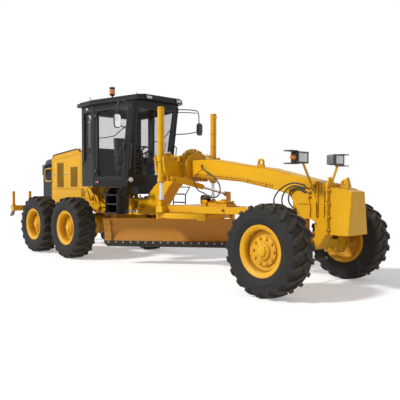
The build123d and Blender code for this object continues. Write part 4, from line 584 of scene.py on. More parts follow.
def cab_glass(name):
    """Clear tinted pane: mostly see-through, with a mirror that grows at a slant and dust at the sill."""
    material, shader, node, link = node_kit(name)
    coords = node("TexCoord").node.outputs["Object"]
    height = node("SeparateXYZ", {0: coords}).node.outputs["Z"]
    film = node("TexNoise", {"Vector": coords, "Scale": 5.0, "Detail": 6.0})
    shader.inputs["Base Color"].default_value = (0.030, 0.036, 0.036, 1)
    shader.inputs["Roughness"].default_value = 0.04
    shader.inputs["Specular IOR Level"].default_value = 0.7
    mirror = node("LayerWeight", {"Blend": 0.42}).node.outputs["Facing"]
    dust = node("Math", {0: ramp(node, height, 2.5, 1.7), 1: ramp(node, film, 0.35, 0.7)},
                operation="MULTIPLY")
    solid = node("Math", {0: node("Math", {0: mirror, 1: 0.30}, operation="MULTIPLY"), 1: 0.07},
                 operation="ADD")
    solid = node("Math", {0: solid, 1: node("Math", {0: dust, 1: 0.06}, operation="MULTIPLY")},
                 operation="ADD")
    link(solid, shader.inputs["Alpha"])
    return material


clear_glass = cab_glass("clear_glass")
paint(clear_glass, "cab_glass")

# ---- Working lamps on stalks -----------------------------------------------------------------
# A lamp each side on a square steel stalk bolted to the head: black pressed housing with a clear
# ribbed lens, an amber signal on its outer cheek between two guard bars.
LAMP_FRONT_X = 4.335
LAMP_Y = (0.365, 0.628)
LAMP_Z = (1.902, 2.074)


def block(low, high, material, soft=0.004, segments=2):
    """Box between two corners, its edges rounded."""
    low, high = np.minimum(low, high), np.maximum(low, high)
    edit = bmesh.new()
    bmesh.ops.create_cube(edit, size=1)
    for vert in edit.verts:
        vert.co = (low + high) / 2 + np.array(vert.co) * (high - low)
    return rounded(edit, material, soft, segments)


def rounded(edit, material, soft, segments=2):
    """Bevels every sharp edge of an edited mesh and makes a piece of it."""
    if soft:
        sharp = [e for e in edit.edges if e.calc_face_angle(0) > 0.3]
        bmesh.ops.bevel(edit, geom=sharp, offset=soft, segments=segments, affect="EDGES", profile=0.5,
                        clamp_overlap=True)
    bmesh.ops.recalc_face_normals(edit, faces=edit.faces)
    for face in edit.faces:
        face.smooth = True
    for edge in edit.edges:
        edge.smooth = edge.calc_face_angle(0) < radians(50)
    mesh = bpy.data.meshes.new("piece")
    edit.to_mesh(mesh)
    edit.free()
    mesh.materials.append(material)
    piece = bpy.data.objects.new("piece", mesh)
    scene.collection.objects.link(piece)
    return piece


def plate(outline, push, material, soft=0.003, segments=1):
    """Plate: a closed outline of points in space, pushed through by a vector, its edges rounded."""
    edit = bmesh.new()
    near = [edit.verts.new(p) for p in np.asarray(outline, float)]
    far = [edit.verts.new(p) for p in np.asarray(outline, float) + np.asarray(push, float)]
    edit.faces.new(near)
    edit.faces.new(far[::-1])
    for k in range(len(near)):
        j = (k + 1) % len(near)
        edit.faces.new((near[j], near[k], far[k], far[j]))
    bmesh.ops.recalc_face_normals(edit, faces=edit.faces)
    return rounded(edit, material, soft, segments)


def frame_of(outer, inner, push, material, name="frame"):
    """Frame between two closed outlines of as many points each, pushed through by a vector."""
    outer, inner, push = (np.asarray(v, float) for v in (outer, inner, push))
    lean = (inner - outer) * 0.10
    rings = np.stack([outer + push * 0.08, outer + lean, inner - lean, inner + push * 0.08, inner + push,
                      outer + push],
                     axis=1)
    return skin(name, rings, material, path_loop=True, sharp=30)


def bent_tube(points, radius, material, bend=0.04, sides=10, closed=False):
    """Steel tube in straight runs, bent round at its corners."""
    points = np.asarray(points, float)
    count = len(points)
    path = []
    for k in range(count):
        if not closed and k in (0, count - 1):
            path.append(points[k])
            continue
        before, here, after = points[k - 1], points[k], points[(k + 1) % count]
        back, on = before - here, after - here
        start = here + back * min(bend / np.linalg.norm(back), 0.5)
        end = here + on * min(bend / np.linalg.norm(on), 0.5)
        for t in np.linspace(0, 1, 6):
            path.append(start * (1 - t) ** 2 + 2 * here * t * (1 - t) + end * t ** 2)
    path = np.array(path)
    keep = np.concatenate([[True], np.linalg.norm(np.diff(path, axis=0), axis=1) > 1e-5])
    path = path[keep]
    ahead = np.roll(path, -1, 0) - path
    behind = path - np.roll(path, 1, 0)
    if not closed:
        ahead[-1], behind[0] = behind[-1], ahead[0]
    ahead /= np.linalg.norm(ahead, axis=1)[:, None]
    behind /= np.linalg.norm(behind, axis=1)[:, None]
    way = ahead + behind
    way /= np.linalg.norm(way, axis=1)[:, None]
    side = np.cross(way[0], (0, 0, 1) if abs(way[0][2]) < 0.9 else (1, 0, 0))
    turn = np.arange(sides) * 2 * pi / sides
    rings = []
    for centre, direction in zip(path, way):
        side = side - direction * np.dot(side, direction)
        side /= np.linalg.norm(side)
        other = np.cross(direction, side)
        rings.append(centre + radius * (np.cos(turn)[:, None] * side + np.sin(turn)[:, None] * other))
    return skin("tube", rings, material, path_loop=closed, sharp=60)


def ball(centre, radius, material, squash=(1, 1, 1), rings=8, sides=16, axis=(0, 0, 1), cut=0.0):
    """Rounded dome or ball turned about an axis; cut is how far round from the lower pole it starts."""
    turn = np.linspace(cut, pi, rings + 2)
    profile = np.column_stack([-np.cos(turn) * radius, np.maximum(np.sin(turn) * radius, radius * 0.02)])
    profile[:, 0] *= squash[2]
    profile[:, 1] *= squash[0]
    return skin("ball", turned(profile, centre, sides, axis), material, sharp=50)


def drum(start, end, profile, material, sides=24, name="drum"):
    """Turned piece from start to end; the profile gives shares of the length and radii."""
    start, end = np.asarray(start, float), np.asarray(end, float)
    along = np.linalg.norm(end - start)
    shares = np.asarray(profile, float) * (along, 1)
    return skin(name, turned(shares, start, sides, end - start), material, sharp=35)


def dress(name, pieces, body, slot, *replaced):
    """Joins pieces into one, has it ride a body and hides the nodes it stands for; slot is not used."""
    whole = join(name, [p for p in pieces])
    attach(whole, body)
    if replaced:
        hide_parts(*replaced)
    return whole


def plastic(name, colour, rough, grain=300.0, coat=0.0):
    """Moulded plastic or rubber: fine grain, cloudy tone, dust film on what faces up."""
    material, shader, node, link = node_kit(name)
    coords = node("TexCoord").node.outputs["Object"]
    clouds = node("TexNoise", {"Vector": coords, "Scale": 8.0, "Detail": 6.0})
    fine = node("TexNoise", {"Vector": coords, "Scale": grain, "Detail": 2.0})
    slope = node("SeparateXYZ", {0: node("NewGeometry").node.outputs["Normal"]}).node.outputs["Z"]
    dust = node("Math", {0: ramp(node, slope, 0.3, 1.0), 1: ramp(node, clouds, 0.35, 0.7)},
                operation="MULTIPLY")
    tone = blend_colour(node, ramp(node, clouds, 0.3, 0.7), [c * 0.8 for c in colour[:3]] + [1], colour)
    tone = blend_colour(node, node("Math", {0: dust, 1: 0.25}, operation="MULTIPLY"), tone,
                        (0.35, 0.28, 0.2, 1))
    link(tone, shader.inputs["Base Color"])
    link(node("MapRange", {0: clouds, 1: 0.3, 2: 0.7, 3: rough - 0.05, 4: rough + 0.08}),
         shader.inputs["Roughness"])
    link(node("Bump", {"Height": fine, "Strength": 0.12, "Distance": 0.001}), shader.inputs["Normal"])
    shader.inputs["Coat Weight"].default_value = coat
    return material


def lamp_lens(name, colour, painted_glow):
    """Moulded lens: vertical flutes, deeper tone at its rim, glossy coat, and a faint painted glow
    standing in for light off its reflector.
    """
    material, shader, node, link = node_kit(name)
    coords = node("TexCoord").node.outputs["Object"]
    flutes = node("TexWave", {"Vector": coords, "Scale": 22.0, "Distortion": 0.0}, bands_direction="Y")
    cells = node("TexVoronoi", {"Vector": coords, "Scale": 60.0})
    tone = blend_colour(node, ramp(node, cells, 0.1, 0.8), colour, [c * 0.55 for c in colour[:3]] + [1])
    link(tone, shader.inputs["Base Color"])
    # the lens's tone also glows faintly: painted light, on reflectors and unlit lamps alike
    link(tone, shader.inputs["Emission Color"])
    shader.inputs["Emission Strength"].default_value = painted_glow
    shader.inputs["Coat Weight"].default_value = 0.8
    link(node("MapRange", {0: cells, 1: 0.0, 2: 1.0, 3: 0.06, 4: 0.18}), shader.inputs["Roughness"])
    link(node("Bump", {"Height": flutes, "Strength": 0.35, "Distance": 0.002}), shader.inputs["Normal"])
    return material


black_plastic = plastic("black_plastic", (0.014, 0.014, 0.015, 1), 0.42, coat=0.15)
seal_rubber = plastic("seal_rubber", (0.010, 0.010, 0.011, 1), 0.55)
grey_cover = plastic("grey_cover", (0.16, 0.165, 0.175, 1), 0.32, coat=0.3)
clear_lens = lamp_lens("clear_lens", (0.80, 0.80, 0.76, 1), 0.12)
amber_lens = lamp_lens("amber_lens", (0.90, 0.25, 0.012, 1), 0.15)
red_lens = lamp_lens("red_lens", (0.55, 0.02, 0.012, 1), 0.08)

lamp_pieces = []
for side in (1, -1):
    inner_y, outer_y = side * LAMP_Y[0], side * LAMP_Y[1]
    mid_z = sum(LAMP_Z) / 2
    lamp_pieces += [
        bent_tube([(4.325, side * 0.232, 1.535), (4.312, side * 0.470, 1.905)], 0.024, machine_yellow,
                  sides=4),
        block((4.295, side * 0.205, 1.485), (4.355, side * 0.222, 1.600), machine_yellow),
        block((4.200, inner_y, LAMP_Z[0]), (4.315, outer_y, LAMP_Z[1]), black_plastic, 0.018, 3),
        block((4.180, inner_y - side * 0.012, LAMP_Z[0] + 0.01),
              (4.305, inner_y + side * 0.03, LAMP_Z[1] - 0.01), grey_cover, 0.008, 2),
        block((4.318, inner_y + side * 0.022, LAMP_Z[0] + 0.020), (LAMP_FRONT_X, outer_y - side * 0.022,
              LAMP_Z[1] - 0.018), clear_lens, 0.014, 3),
        ball((4.262, outer_y + side * 0.002, mid_z), 0.052, amber_lens, squash=(0.85, 1, 1.5),
             axis=(0, side, 0), cut=pi / 2),
        block((4.195, outer_y - side * 0.03, LAMP_Z[1] - 0.004), (4.330, side * 0.792, LAMP_Z[1] + 0.013),
              step_grey, 0.006),
        block((4.195, outer_y - side * 0.06, LAMP_Z[0] - 0.013), (4.330, side * 0.792, LAMP_Z[0] + 0.004),
              black_plastic, 0.006),
        skin("bolts", hex_heads([(4.325, side * 0.224, 1.503), (4.325, side * 0.224, 1.582)], (0, side, 0),
                                0.017, 0.010), nut_steel),
    ]
    bezel_out = [(LAMP_FRONT_X + 0.004, y, z) for y, z in (
        (inner_y, LAMP_Z[0]), (outer_y, LAMP_Z[0]), (outer_y, LAMP_Z[1]), (inner_y, LAMP_Z[1]))]
    bezel_in = [(LAMP_FRONT_X + 0.004, y, z) for y, z in (
        (inner_y + side * 0.026, LAMP_Z[0] + 0.024), (outer_y - side * 0.026, LAMP_Z[0] + 0.024),
        (outer_y - side * 0.026, LAMP_Z[1] - 0.022), (inner_y + side * 0.026, LAMP_Z[1] - 0.022))]
    lamp_pieces.append(frame_of(bezel_out, bezel_in, (-0.03, 0, 0), black_plastic))
dress("head_lamp_set", lamp_pieces, "front_frame", "dark_paint", "head_lamps")

# ---- Cab doors -------------------------------------------------------------------------------
# Steel door frames, glazed almost to the floor, with a rubber seal round each pane, two hinges at
# the rear post, a pull handle and a lock plate.
WALL_T = 0.055


def front_post(z):
    """Fore edge of the cab's wall at a height: upright below the waist, leaning forward above it."""
    return np.interp(z, (1.62, 2.48, 3.31), (0.07, 0.175, 0.31))


def on_wall(x, z, side, out=0.0):
    """Point on the cab's side wall, out from its face."""
    share = (x + 0.9) / (front_post(z) + 0.9)
    return (x, side * (0.80 - 0.215 * share + out), z)


def door_loop(rail, side, out, low=1.69, high=3.25):
    """Closed outline of the door, in by rail."""
    z0, z1 = low + rail, high - rail
    spots = [(-0.834 + rail, z0), (front_post(z0) - 0.081 - rail, z0),
             (front_post(2.48) - 0.081 - rail, 2.48),
             (front_post(z1) - 0.081 - rail, z1), (-0.834 + rail, z1)]
    return [on_wall(x, z, side, out) for x, z in spots]


for side_name, side in zip(SIDES, (1, -1)):
    inwards = (0, -side * WALL_T, 0)
    rail = 0.062
    door_pieces = [
        frame_of(door_loop(0, side, 0.003), door_loop(rail, side, 0.003), inwards, charcoal),
        frame_of(door_loop(rail - 0.012, side, 0.009), door_loop(rail + 0.013, side, 0.009),
                 (0, -side * 0.030, 0), seal_rubber),
        frame_of(door_loop(0.004, side, 0.006), door_loop(0.016, side, 0.006), (0, -side * 0.01, 0),
                 seal_rubber),
        plate(door_loop(rail - 0.004, side, -0.018), (0, -side * 0.006, 0), clear_glass, 0),
        block(np.array(on_wall(-0.01, 2.30, side, 0.0)),
              np.array(on_wall(-0.01, 2.30, side, 0.03)) + (0.05, 0, 0.16), black_plastic, 0.008),
        bent_tube([on_wall(-0.16, 2.02, side, -0.004), on_wall(-0.16, 2.02, side, 0.050),
                   on_wall(-0.03, 2.36, side, 0.050), on_wall(-0.03, 2.36, side, -0.004)], 0.011,
                   black_plastic),
        bent_tube([on_wall(-0.74, 2.60, side, -0.030), on_wall(-0.55, 2.60, side, -0.030),
                   on_wall(-0.30, 2.62, side, -0.030), on_wall(0.02, 2.80, side, -0.030)], 0.010,
                   black_plastic),
    ]
    for hinge_z in (1.85, 3.03):
        spot = np.array((-0.837, side * 0.803, hinge_z))
        door_pieces += [
            drum(spot, spot + (0, 0, 0.09), [(0, 0.011), (0.02, 0.012), (0.98, 0.012), (1, 0.011)],
                 black_plastic),
            block(spot + (0.0, -0.012 * side, 0.004), spot + (0.062, 0.004 * side, 0.086), black_plastic,
                  0.003),
            skin("bolts",
                 hex_heads(spot + np.array([(0.040, 0.005 * side, 0.025), (0.040, 0.005 * side, 0.065)]),
                                    (0, side, 0), 0.011, 0.006), nut_steel),
        ]
    dress(f"cab_door_{side_name}", door_pieces, f"door_{side_name}", "dark_paint", f"door_{side_name}")

# ---- Cab trim --------------------------------------------------------------------------------
# Rubber seals round every fixed pane, wipers, roof lamps, the amber beacon, aerials, grab rails, a
# round side lamp and red rear reflectors, all screwed to the cab's steel frame.


def front_line(y, z, out=0.0):
    """Point on the cab's front wall, out from its face."""
    return (front_post(z) + out, y, z)


def screen_loop(grow, out):
    """Windscreen's outline: straight sides that spread upwards, with a bend at the waist."""
    half_low, half_high = 0.43 + grow, 0.49 + grow
    z0, z1, waist = 1.79 - grow, 3.18 + grow, 2.48
    half_waist = half_low + (half_high - half_low) * 0.5
    return [front_line(-half_low, z0, out), front_line(half_low, z0, out), front_line(half_waist, waist, out),
            front_line(half_high, z1, out), front_line(-half_high, z1, out),
            front_line(-half_waist, waist, out)]


def quarter_loop(grow, side, out):
    """Quarter window's outline on the side wall, which leans out towards the front."""
    spots = [(-1.31 - grow, 2.06 - grow), (-0.96 + grow, 2.25 - grow), (-0.96 + grow, 3.19 + grow),
             (-1.31 - grow, 3.19 + grow)]
    return [(x, side * (0.78 + 0.04 * (x + 1.4) + out), z) for x, z in spots]


def rear_loop(grow, out):
    """Rear window's outline, grown all round and set out from the rear wall."""
    return [(-1.40 - out, y, z) for y, z in ((-0.64 - grow, 2.42 - grow), (0.64 + grow, 2.42 - grow),
                                            (0.64 + grow, 3.18 + grow), (-0.64 - grow, 3.18 + grow))]


cab_trim = [
    frame_of(screen_loop(0.022, 0.007), screen_loop(-0.018, 0.007), (-0.03, 0, 0), seal_rubber),
    frame_of(rear_loop(0.020, 0.007), rear_loop(-0.016, 0.007), (0.03, 0, 0), seal_rubber),
]
for side in (1, -1):
    cab_trim += [
        frame_of(quarter_loop(0.020, side, 0.007), quarter_loop(-0.016, side, 0.007), (0, -side * 0.03, 0),
                 seal_rubber),
        # corner post caps down the front edge and a rib below the quarter window
        bent_tube([(front_post(1.66) - 0.004, side * 0.587, 1.66),
                   (front_post(2.48) - 0.004, side * 0.587, 2.48),
                   (front_post(3.27) - 0.004, side * 0.587, 3.27)], 0.017, charcoal, bend=0.05),
        bent_tube([(-1.36, side * 0.785, 2.10), (-1.34, side * 0.787, 2.02), (-0.93, side * 0.802, 1.93)],
                  0.008, charcoal),
        # grab rail on the front post
        bent_tube([(front_post(1.90), side * 0.575, 1.90), (front_post(1.90) + 0.07, side * 0.60, 1.92),
                   (front_post(2.44) + 0.07, side * 0.60, 2.42), (front_post(2.44), side * 0.575, 2.44)],
                   0.011,
                  black_plastic, bend=0.03),
        # work lamp low at the front corner
        drum((0.16, side * 0.585, 1.700), (0.245, side * 0.625, 1.700),
             [(0, 0.035), (0.45, 0.058), (0.8, 0.064), (1, 0.066)], black_plastic),
        drum((0.243, side * 0.624, 1.700), (0.258, side * 0.631, 1.700),
             [(0, 0.046), (0.6, 0.044), (1, 0.030)], clear_lens),
        block((0.03, side * 0.55, 1.66), (0.17, side * 0.60, 1.70), black_plastic, 0.006),
        # round lamp high on the rear post, a red reflector and a lamp under the roof's rear corner
        drum((-1.115, side * 0.785, 3.245), (-1.115, side * 0.822, 3.245),
             [(0, 0.030), (0.7, 0.032), (1, 0.026)], clear_lens),
        drum((-0.785, side * 0.79, 1.655), (-0.785, side * 0.808, 1.655),
             [(0, 0.024), (0.8, 0.024), (1, 0.018)], red_lens),
        drum((-0.735, side * 0.785, 1.655), (-0.735, side * 0.800, 1.655),
             [(0, 0.020), (0.8, 0.020), (1, 0.015)], clear_lens),
        # roof lamp faces
        block((0.556, side * 0.392 - 0.068, 3.324), (0.566, side * 0.392 + 0.068, 3.382), clear_lens, 0.004),
        frame_of([(0.568, side * 0.392 + y, z)
                  for y, z in ((-0.078, 3.316), (0.078, 3.316), (0.078, 3.390), (-0.078, 3.390))],
                 [(0.568, side * 0.392 + y, z)
                  for y, z in ((-0.064, 3.328), (0.064, 3.328), (0.064, 3.378), (-0.064, 3.378))],
                 (-0.03, 0, 0), black_plastic),
        # wiper: arm, blade and its spindle
        drum(front_line(side * 0.20, 1.755, -0.02), front_line(side * 0.20, 1.755, 0.03),
             [(0, 0.020), (0.6, 0.020), (1, 0.014)], black_plastic),
        bent_tube([front_line(side * 0.20, 1.755, 0.022), front_line(side * 0.26, 2.02, 0.026),
                   front_line(side * 0.30, 2.25, 0.016)], 0.006, black_plastic),
        bent_tube([front_line(side * 0.26, 2.00, 0.010), front_line(side * 0.34, 2.46, 0.012),
                   front_line(side * 0.345, 2.52, 0.012)], 0.007, seal_rubber),
    ]
dress("cab_trim", cab_trim, "rear_frame", "dark_paint")

ROOF_TOP_Z = 3.42
roof_trim = [
    drum((-0.90, -0.30, 3.606), (-0.90, -0.30, 3.766),
         [(0, 0.063), (0.05, 0.064), (0.62, 0.064), (0.86, 0.056),
         (0.97, 0.034), (1, 0.010)], amber_lens),
    drum((-0.90, -0.30, 3.570), (-0.90, -0.30, 3.610), [(0, 0.030), (0.4, 0.052), (0.9, 0.066), (1, 0.060)],
         black_plastic),
]
for mast_x, mast_y, mast_h in ((-1.33, -0.60, 0.15), (0.10, -0.36, 0.10), (-1.30, 0.45, 0.12)):
    foot = np.array((mast_x, mast_y, ROOF_TOP_Z - 0.004))
    roof_trim += [
        drum(foot, foot + (0, 0, 0.035), [(0, 0.026), (0.5, 0.024), (1, 0.010)], black_plastic),
        bent_tube([foot + (0, 0, 0.02), foot + (0.012, 0.01, mast_h * 0.6), foot + (-0.02, -0.005, mast_h)],
                  0.007, black_plastic),
    ]
roof_edge = [(-1.47, -0.85), (-0.90, -0.87), (0.42, -0.60), (0.54, -0.50), (0.54, 0.50), (0.42, 0.60),
             (-0.90, 0.87), (-1.47, 0.85)]
roof_trim.append(bent_tube([(x * 1.002, y * 1.003, 3.322) for x, y in roof_edge], 0.012, charcoal,
                           bend=0.03, closed=True))
roof_trim.append(frame_of([(x * 0.93 - 0.03, y * 0.90, 3.423) for x, y in roof_edge],
                          [(x * 0.88 - 0.05, y * 0.84, 3.423) for x, y in roof_edge], (0, 0, -0.012),
                          charcoal))
dress("roof_trim", roof_trim, "rear_frame", "dark_paint")

# ---- Mirrors ---------------------------------------------------------------------------------
# Rounded moulded mirror heads with silvered glass set into them, on bent steel tube arms whose feet
# are bolted to the front posts.


def mirror_glass(name):
    """Silvered glass, a little dusty."""
    material, shader, node, link = node_kit(name)
    film = node("TexNoise", {"Vector": node("TexCoord").node.outputs["Object"], "Scale": 9.0, "Detail": 5.0})
    link(blend_colour(node, ramp(node, film, 0.4, 0.8), (0.78, 0.80, 0.82, 1), (0.60, 0.58, 0.54, 1)),
         shader.inputs["Base Color"])
    shader.inputs["Metallic"].default_value = 1.0
    link(node("MapRange", {0: film, 1: 0.3, 2: 0.8, 3: 0.02, 4: 0.12}), shader.inputs["Roughness"])
    return material


silvered = mirror_glass("silvered")
mirror_pieces = []
for side in (1, -1):
    head = np.array((0.452, side * 1.095, 2.828))
    facing = 1 if side < 0 else -1
    ring = []
    for share, scale in ((0.95, 0.80), (0.70, 0.94), (0.2, 1.0), (-0.65, 1.0), (-0.95, 0.97)):
        turn = np.arange(28) * 2 * pi / 28
        across = np.sign(np.cos(turn)) * np.abs(np.cos(turn)) ** 0.55 * 0.078 * scale
        up = np.sign(np.sin(turn)) * np.abs(np.sin(turn)) ** 0.55 * 0.138 * scale
        ring.append(np.column_stack([np.full(28, -share * facing * 0.024), across, up]) + head)
    glass_ring = []
    for share, scale in ((-0.90, 0.90), (-1.08, 0.88)):
        turn = np.arange(28) * 2 * pi / 28
        across = np.sign(np.cos(turn)) * np.abs(np.cos(turn)) ** 0.55 * 0.078 * scale
        up = np.sign(np.sin(turn)) * np.abs(np.sin(turn)) ** 0.55 * 0.138 * scale
        glass_ring.append(np.column_stack([np.full(28, -share * facing * 0.024), across, up]) + head)
    mirror_pieces += [
        skin("head", ring, black_plastic, sharp=40),
        skin("glass", glass_ring, silvered, sharp=40),
        bent_tube([(0.262, side * 0.590, 3.235), (0.380, side * 0.860, 3.245), (0.440, side * 1.040, 3.235),
                   (0.440, side * 1.085, 3.130), (0.436, side * 1.093, 2.880)], 0.0115, black_plastic,
                  bend=0.05),
        bent_tube([(0.262, side * 0.590, 3.175), (0.380, side * 0.860, 3.185),
                   (0.452, side * 1.000, 3.175)], 0.0095, black_plastic, bend=0.05),
        bent_tube([(0.190, side * 0.580, 2.700), (0.330, side * 0.800, 2.715), (0.420, side * 1.020, 2.760),
                   (0.432, side * 1.085, 2.800)], 0.0115, black_plastic, bend=0.06),
        block((0.240, side * 0.572, 3.150), (0.284, side * 0.622, 3.262), black_plastic, 0.006),
        block((0.168, side * 0.562, 2.668), (0.212, side * 0.612, 2.732), black_plastic, 0.006),
        block((0.424, side * 1.062, 2.75), (0.444, side * 1.128, 2.90), black_plastic, 0.006),
        skin("bolts",
             hex_heads([(0.262, side * 0.622, 3.165), (0.262, side * 0.622, 3.245),
                        (0.19, side * 0.612, 2.70)], (0, side, 0), 0.014, 0.008), nut_steel),
    ]
dress("mirror_set", mirror_pieces, "rear_frame", "dark_paint", "mirrors")

# ---- Seat ------------------------------------------------------------------------------------
# Suspended driver's seat: rubber bellows on a steel plate, foam cushion and backrest in woven cloth
# with sewn channels and piped edges, and two padded armrests on steel brackets.


def seat_cloth(name):
    """Woven cloth: crossed threads, cloudy wear, a soft sheen."""
    material, shader, node, link = node_kit(name)
    coords = node("TexCoord").node.outputs["Object"]
    warp = node("TexWave", {"Vector": coords, "Scale": 150.0}, bands_direction="Y")
    weft = node("TexWave", {"Vector": coords, "Scale": 150.0}, bands_direction="DIAGONAL")
    threads = node("Math", {0: warp, 1: weft}, operation="MULTIPLY")
    clouds = node("TexNoise", {"Vector": coords, "Scale": 7.0, "Detail": 6.0})
    tone = blend_colour(node, threads, (0.022, 0.023, 0.026, 1), (0.055, 0.056, 0.060, 1))
    tone = blend_colour(node, node("Math", {0: ramp(node, clouds, 0.45, 0.75), 1: 0.4},
                                   operation="MULTIPLY"), tone,
                        (0.10, 0.085, 0.065, 1))
    link(tone, shader.inputs["Base Color"])
    shader.inputs["Roughness"].default_value = 0.85
    shader.inputs["Sheen Weight"].default_value = 0.4
    link(node("Bump", {"Height": threads, "Strength": 0.3, "Distance": 0.001}), shader.inputs["Normal"])
    return material


grey_cloth = seat_cloth("grey_cloth")


def cushion(size, crown, seams, place):
    """Crowned closed form: a rounded slab whose faces swell to the middle, sides pull in between the
    corners, and seams run as narrow channels across it; place lays it in the machine."""
    edit = bmesh.new()
    bmesh.ops.create_cube(edit, size=2)
    bmesh.ops.subdivide_edges(edit, edges=edit.edges[:], cuts=22, use_grid_fill=True)
    points = np.array([v.co for v in edit.verts])
    limit = np.abs(points).max(axis=1)
    round_off = np.linalg.norm(points, axis=1)
    points *= (0.80 + 0.20 * limit / round_off * 1.25)[:, None] / (0.80 + 0.20 * 1.25)
    u, v, w = points.T
    swell = (1 - u ** 2).clip(0) * (1 - v ** 2).clip(0)
    waist = 1 - 0.05 * (1 - v ** 2).clip(0)
    waist_v = 1 - 0.05 * (1 - u ** 2).clip(0)
    groove = sum(0.055 * np.exp(-((v - at) / 0.035) ** 2) for at in seams) + 0.0 * v
    thick = np.sign(w) * (np.abs(w) * (1 + crown * swell) - np.where(w > 0.5, groove, 0))
    half = np.asarray(size) / 2
    shaped = np.column_stack([u * waist * half[0], v * waist_v * half[1], thick * half[2]])
    for vert, spot in zip(edit.verts, place(shaped)):
        vert.co = spot
    piece = rounded(edit, grey_cloth, 0)
    for polygon in piece.data.polygons:
        polygon.use_smooth = True
    return piece


def tilted(centre, degrees):
    """Lays points about a centre, tipped back about the machine's width."""
    turn = radians(degrees)

    def lay(points):
        """Points turned by the angle about the crosswise axis, then moved to the centre."""
        x, y, z = np.asarray(points, float).T
        return np.column_stack([x * cos(turn) + z * sin(turn), y, -x * sin(turn) + z * cos(turn)]) + centre
    return lay


CUSHIONS = {
    "seat_cushion": ((0.48, 0.50, 0.135), 0.30, (-0.52, 0.52), tilted((-0.668, 0, 1.972), -4)),
    "seat_back": ((0.66, 0.46, 0.125), 0.28, (-0.55, 0.55), tilted((-0.912, 0, 2.345), -98)),
}
for pad_name, (size, crown, seams, place) in CUSHIONS.items():
    pad = cushion(size, crown, seams, place)
    pad.name = pad_name
    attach(pad, "rear_frame")
    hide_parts("seat")
seat_steel = [
    block((-0.86, -0.21, 1.622), (-0.50, 0.21, 1.650), black_plastic, 0.006),
    block((-0.88, -0.22, 1.868), (-0.46, 0.22, 1.898), black_plastic, 0.008),
    block((-0.985, -0.19, 2.02), (-0.940, 0.19, 2.60), black_plastic, 0.010),
]
for fold in range(5):
    fold_z = 1.650 + fold * 0.044
    seat_steel.append(block((-0.83, -0.185, fold_z), (-0.53, 0.185, fold_z + 0.040), seal_rubber, 0.018, 3))
for side in (1, -1):
    seat_steel += [
        bent_tube([(-0.88, side * 0.262, 1.93), (-0.90, side * 0.275, 2.18), (-0.80, side * 0.285, 2.195)],
                  0.012, black_plastic, bend=0.03),
        block((-0.86, side * 0.258, 2.192), (-0.52, side * 0.318, 2.238), seal_rubber, 0.020, 3),
    ]
dress("seat_stand", seat_steel, "rear_frame", "dark_paint", "seat")

# ---- Hood and radiator trim ------------------------------------------------------------------
# Side doors with louvres, seams, screws and chromed latches; a ribbed grey lid with a rail at each
# side, a yellow grab handle at each corner, and a black radiator cowl with rear lamps.
HOOD_Y = 0.46
LOUVRES = ((-3.15, 1.54, 2.15), (-2.48, 1.55, 2.03))
LOUVRE_W = 9 * 0.036
FOLD_Z = 1.495


def hood_top(x):
    """Height of the hood's top at a place along it."""
    return np.interp(x, (-3.445, -1.94, -1.49), (2.265, 2.384, 2.384))


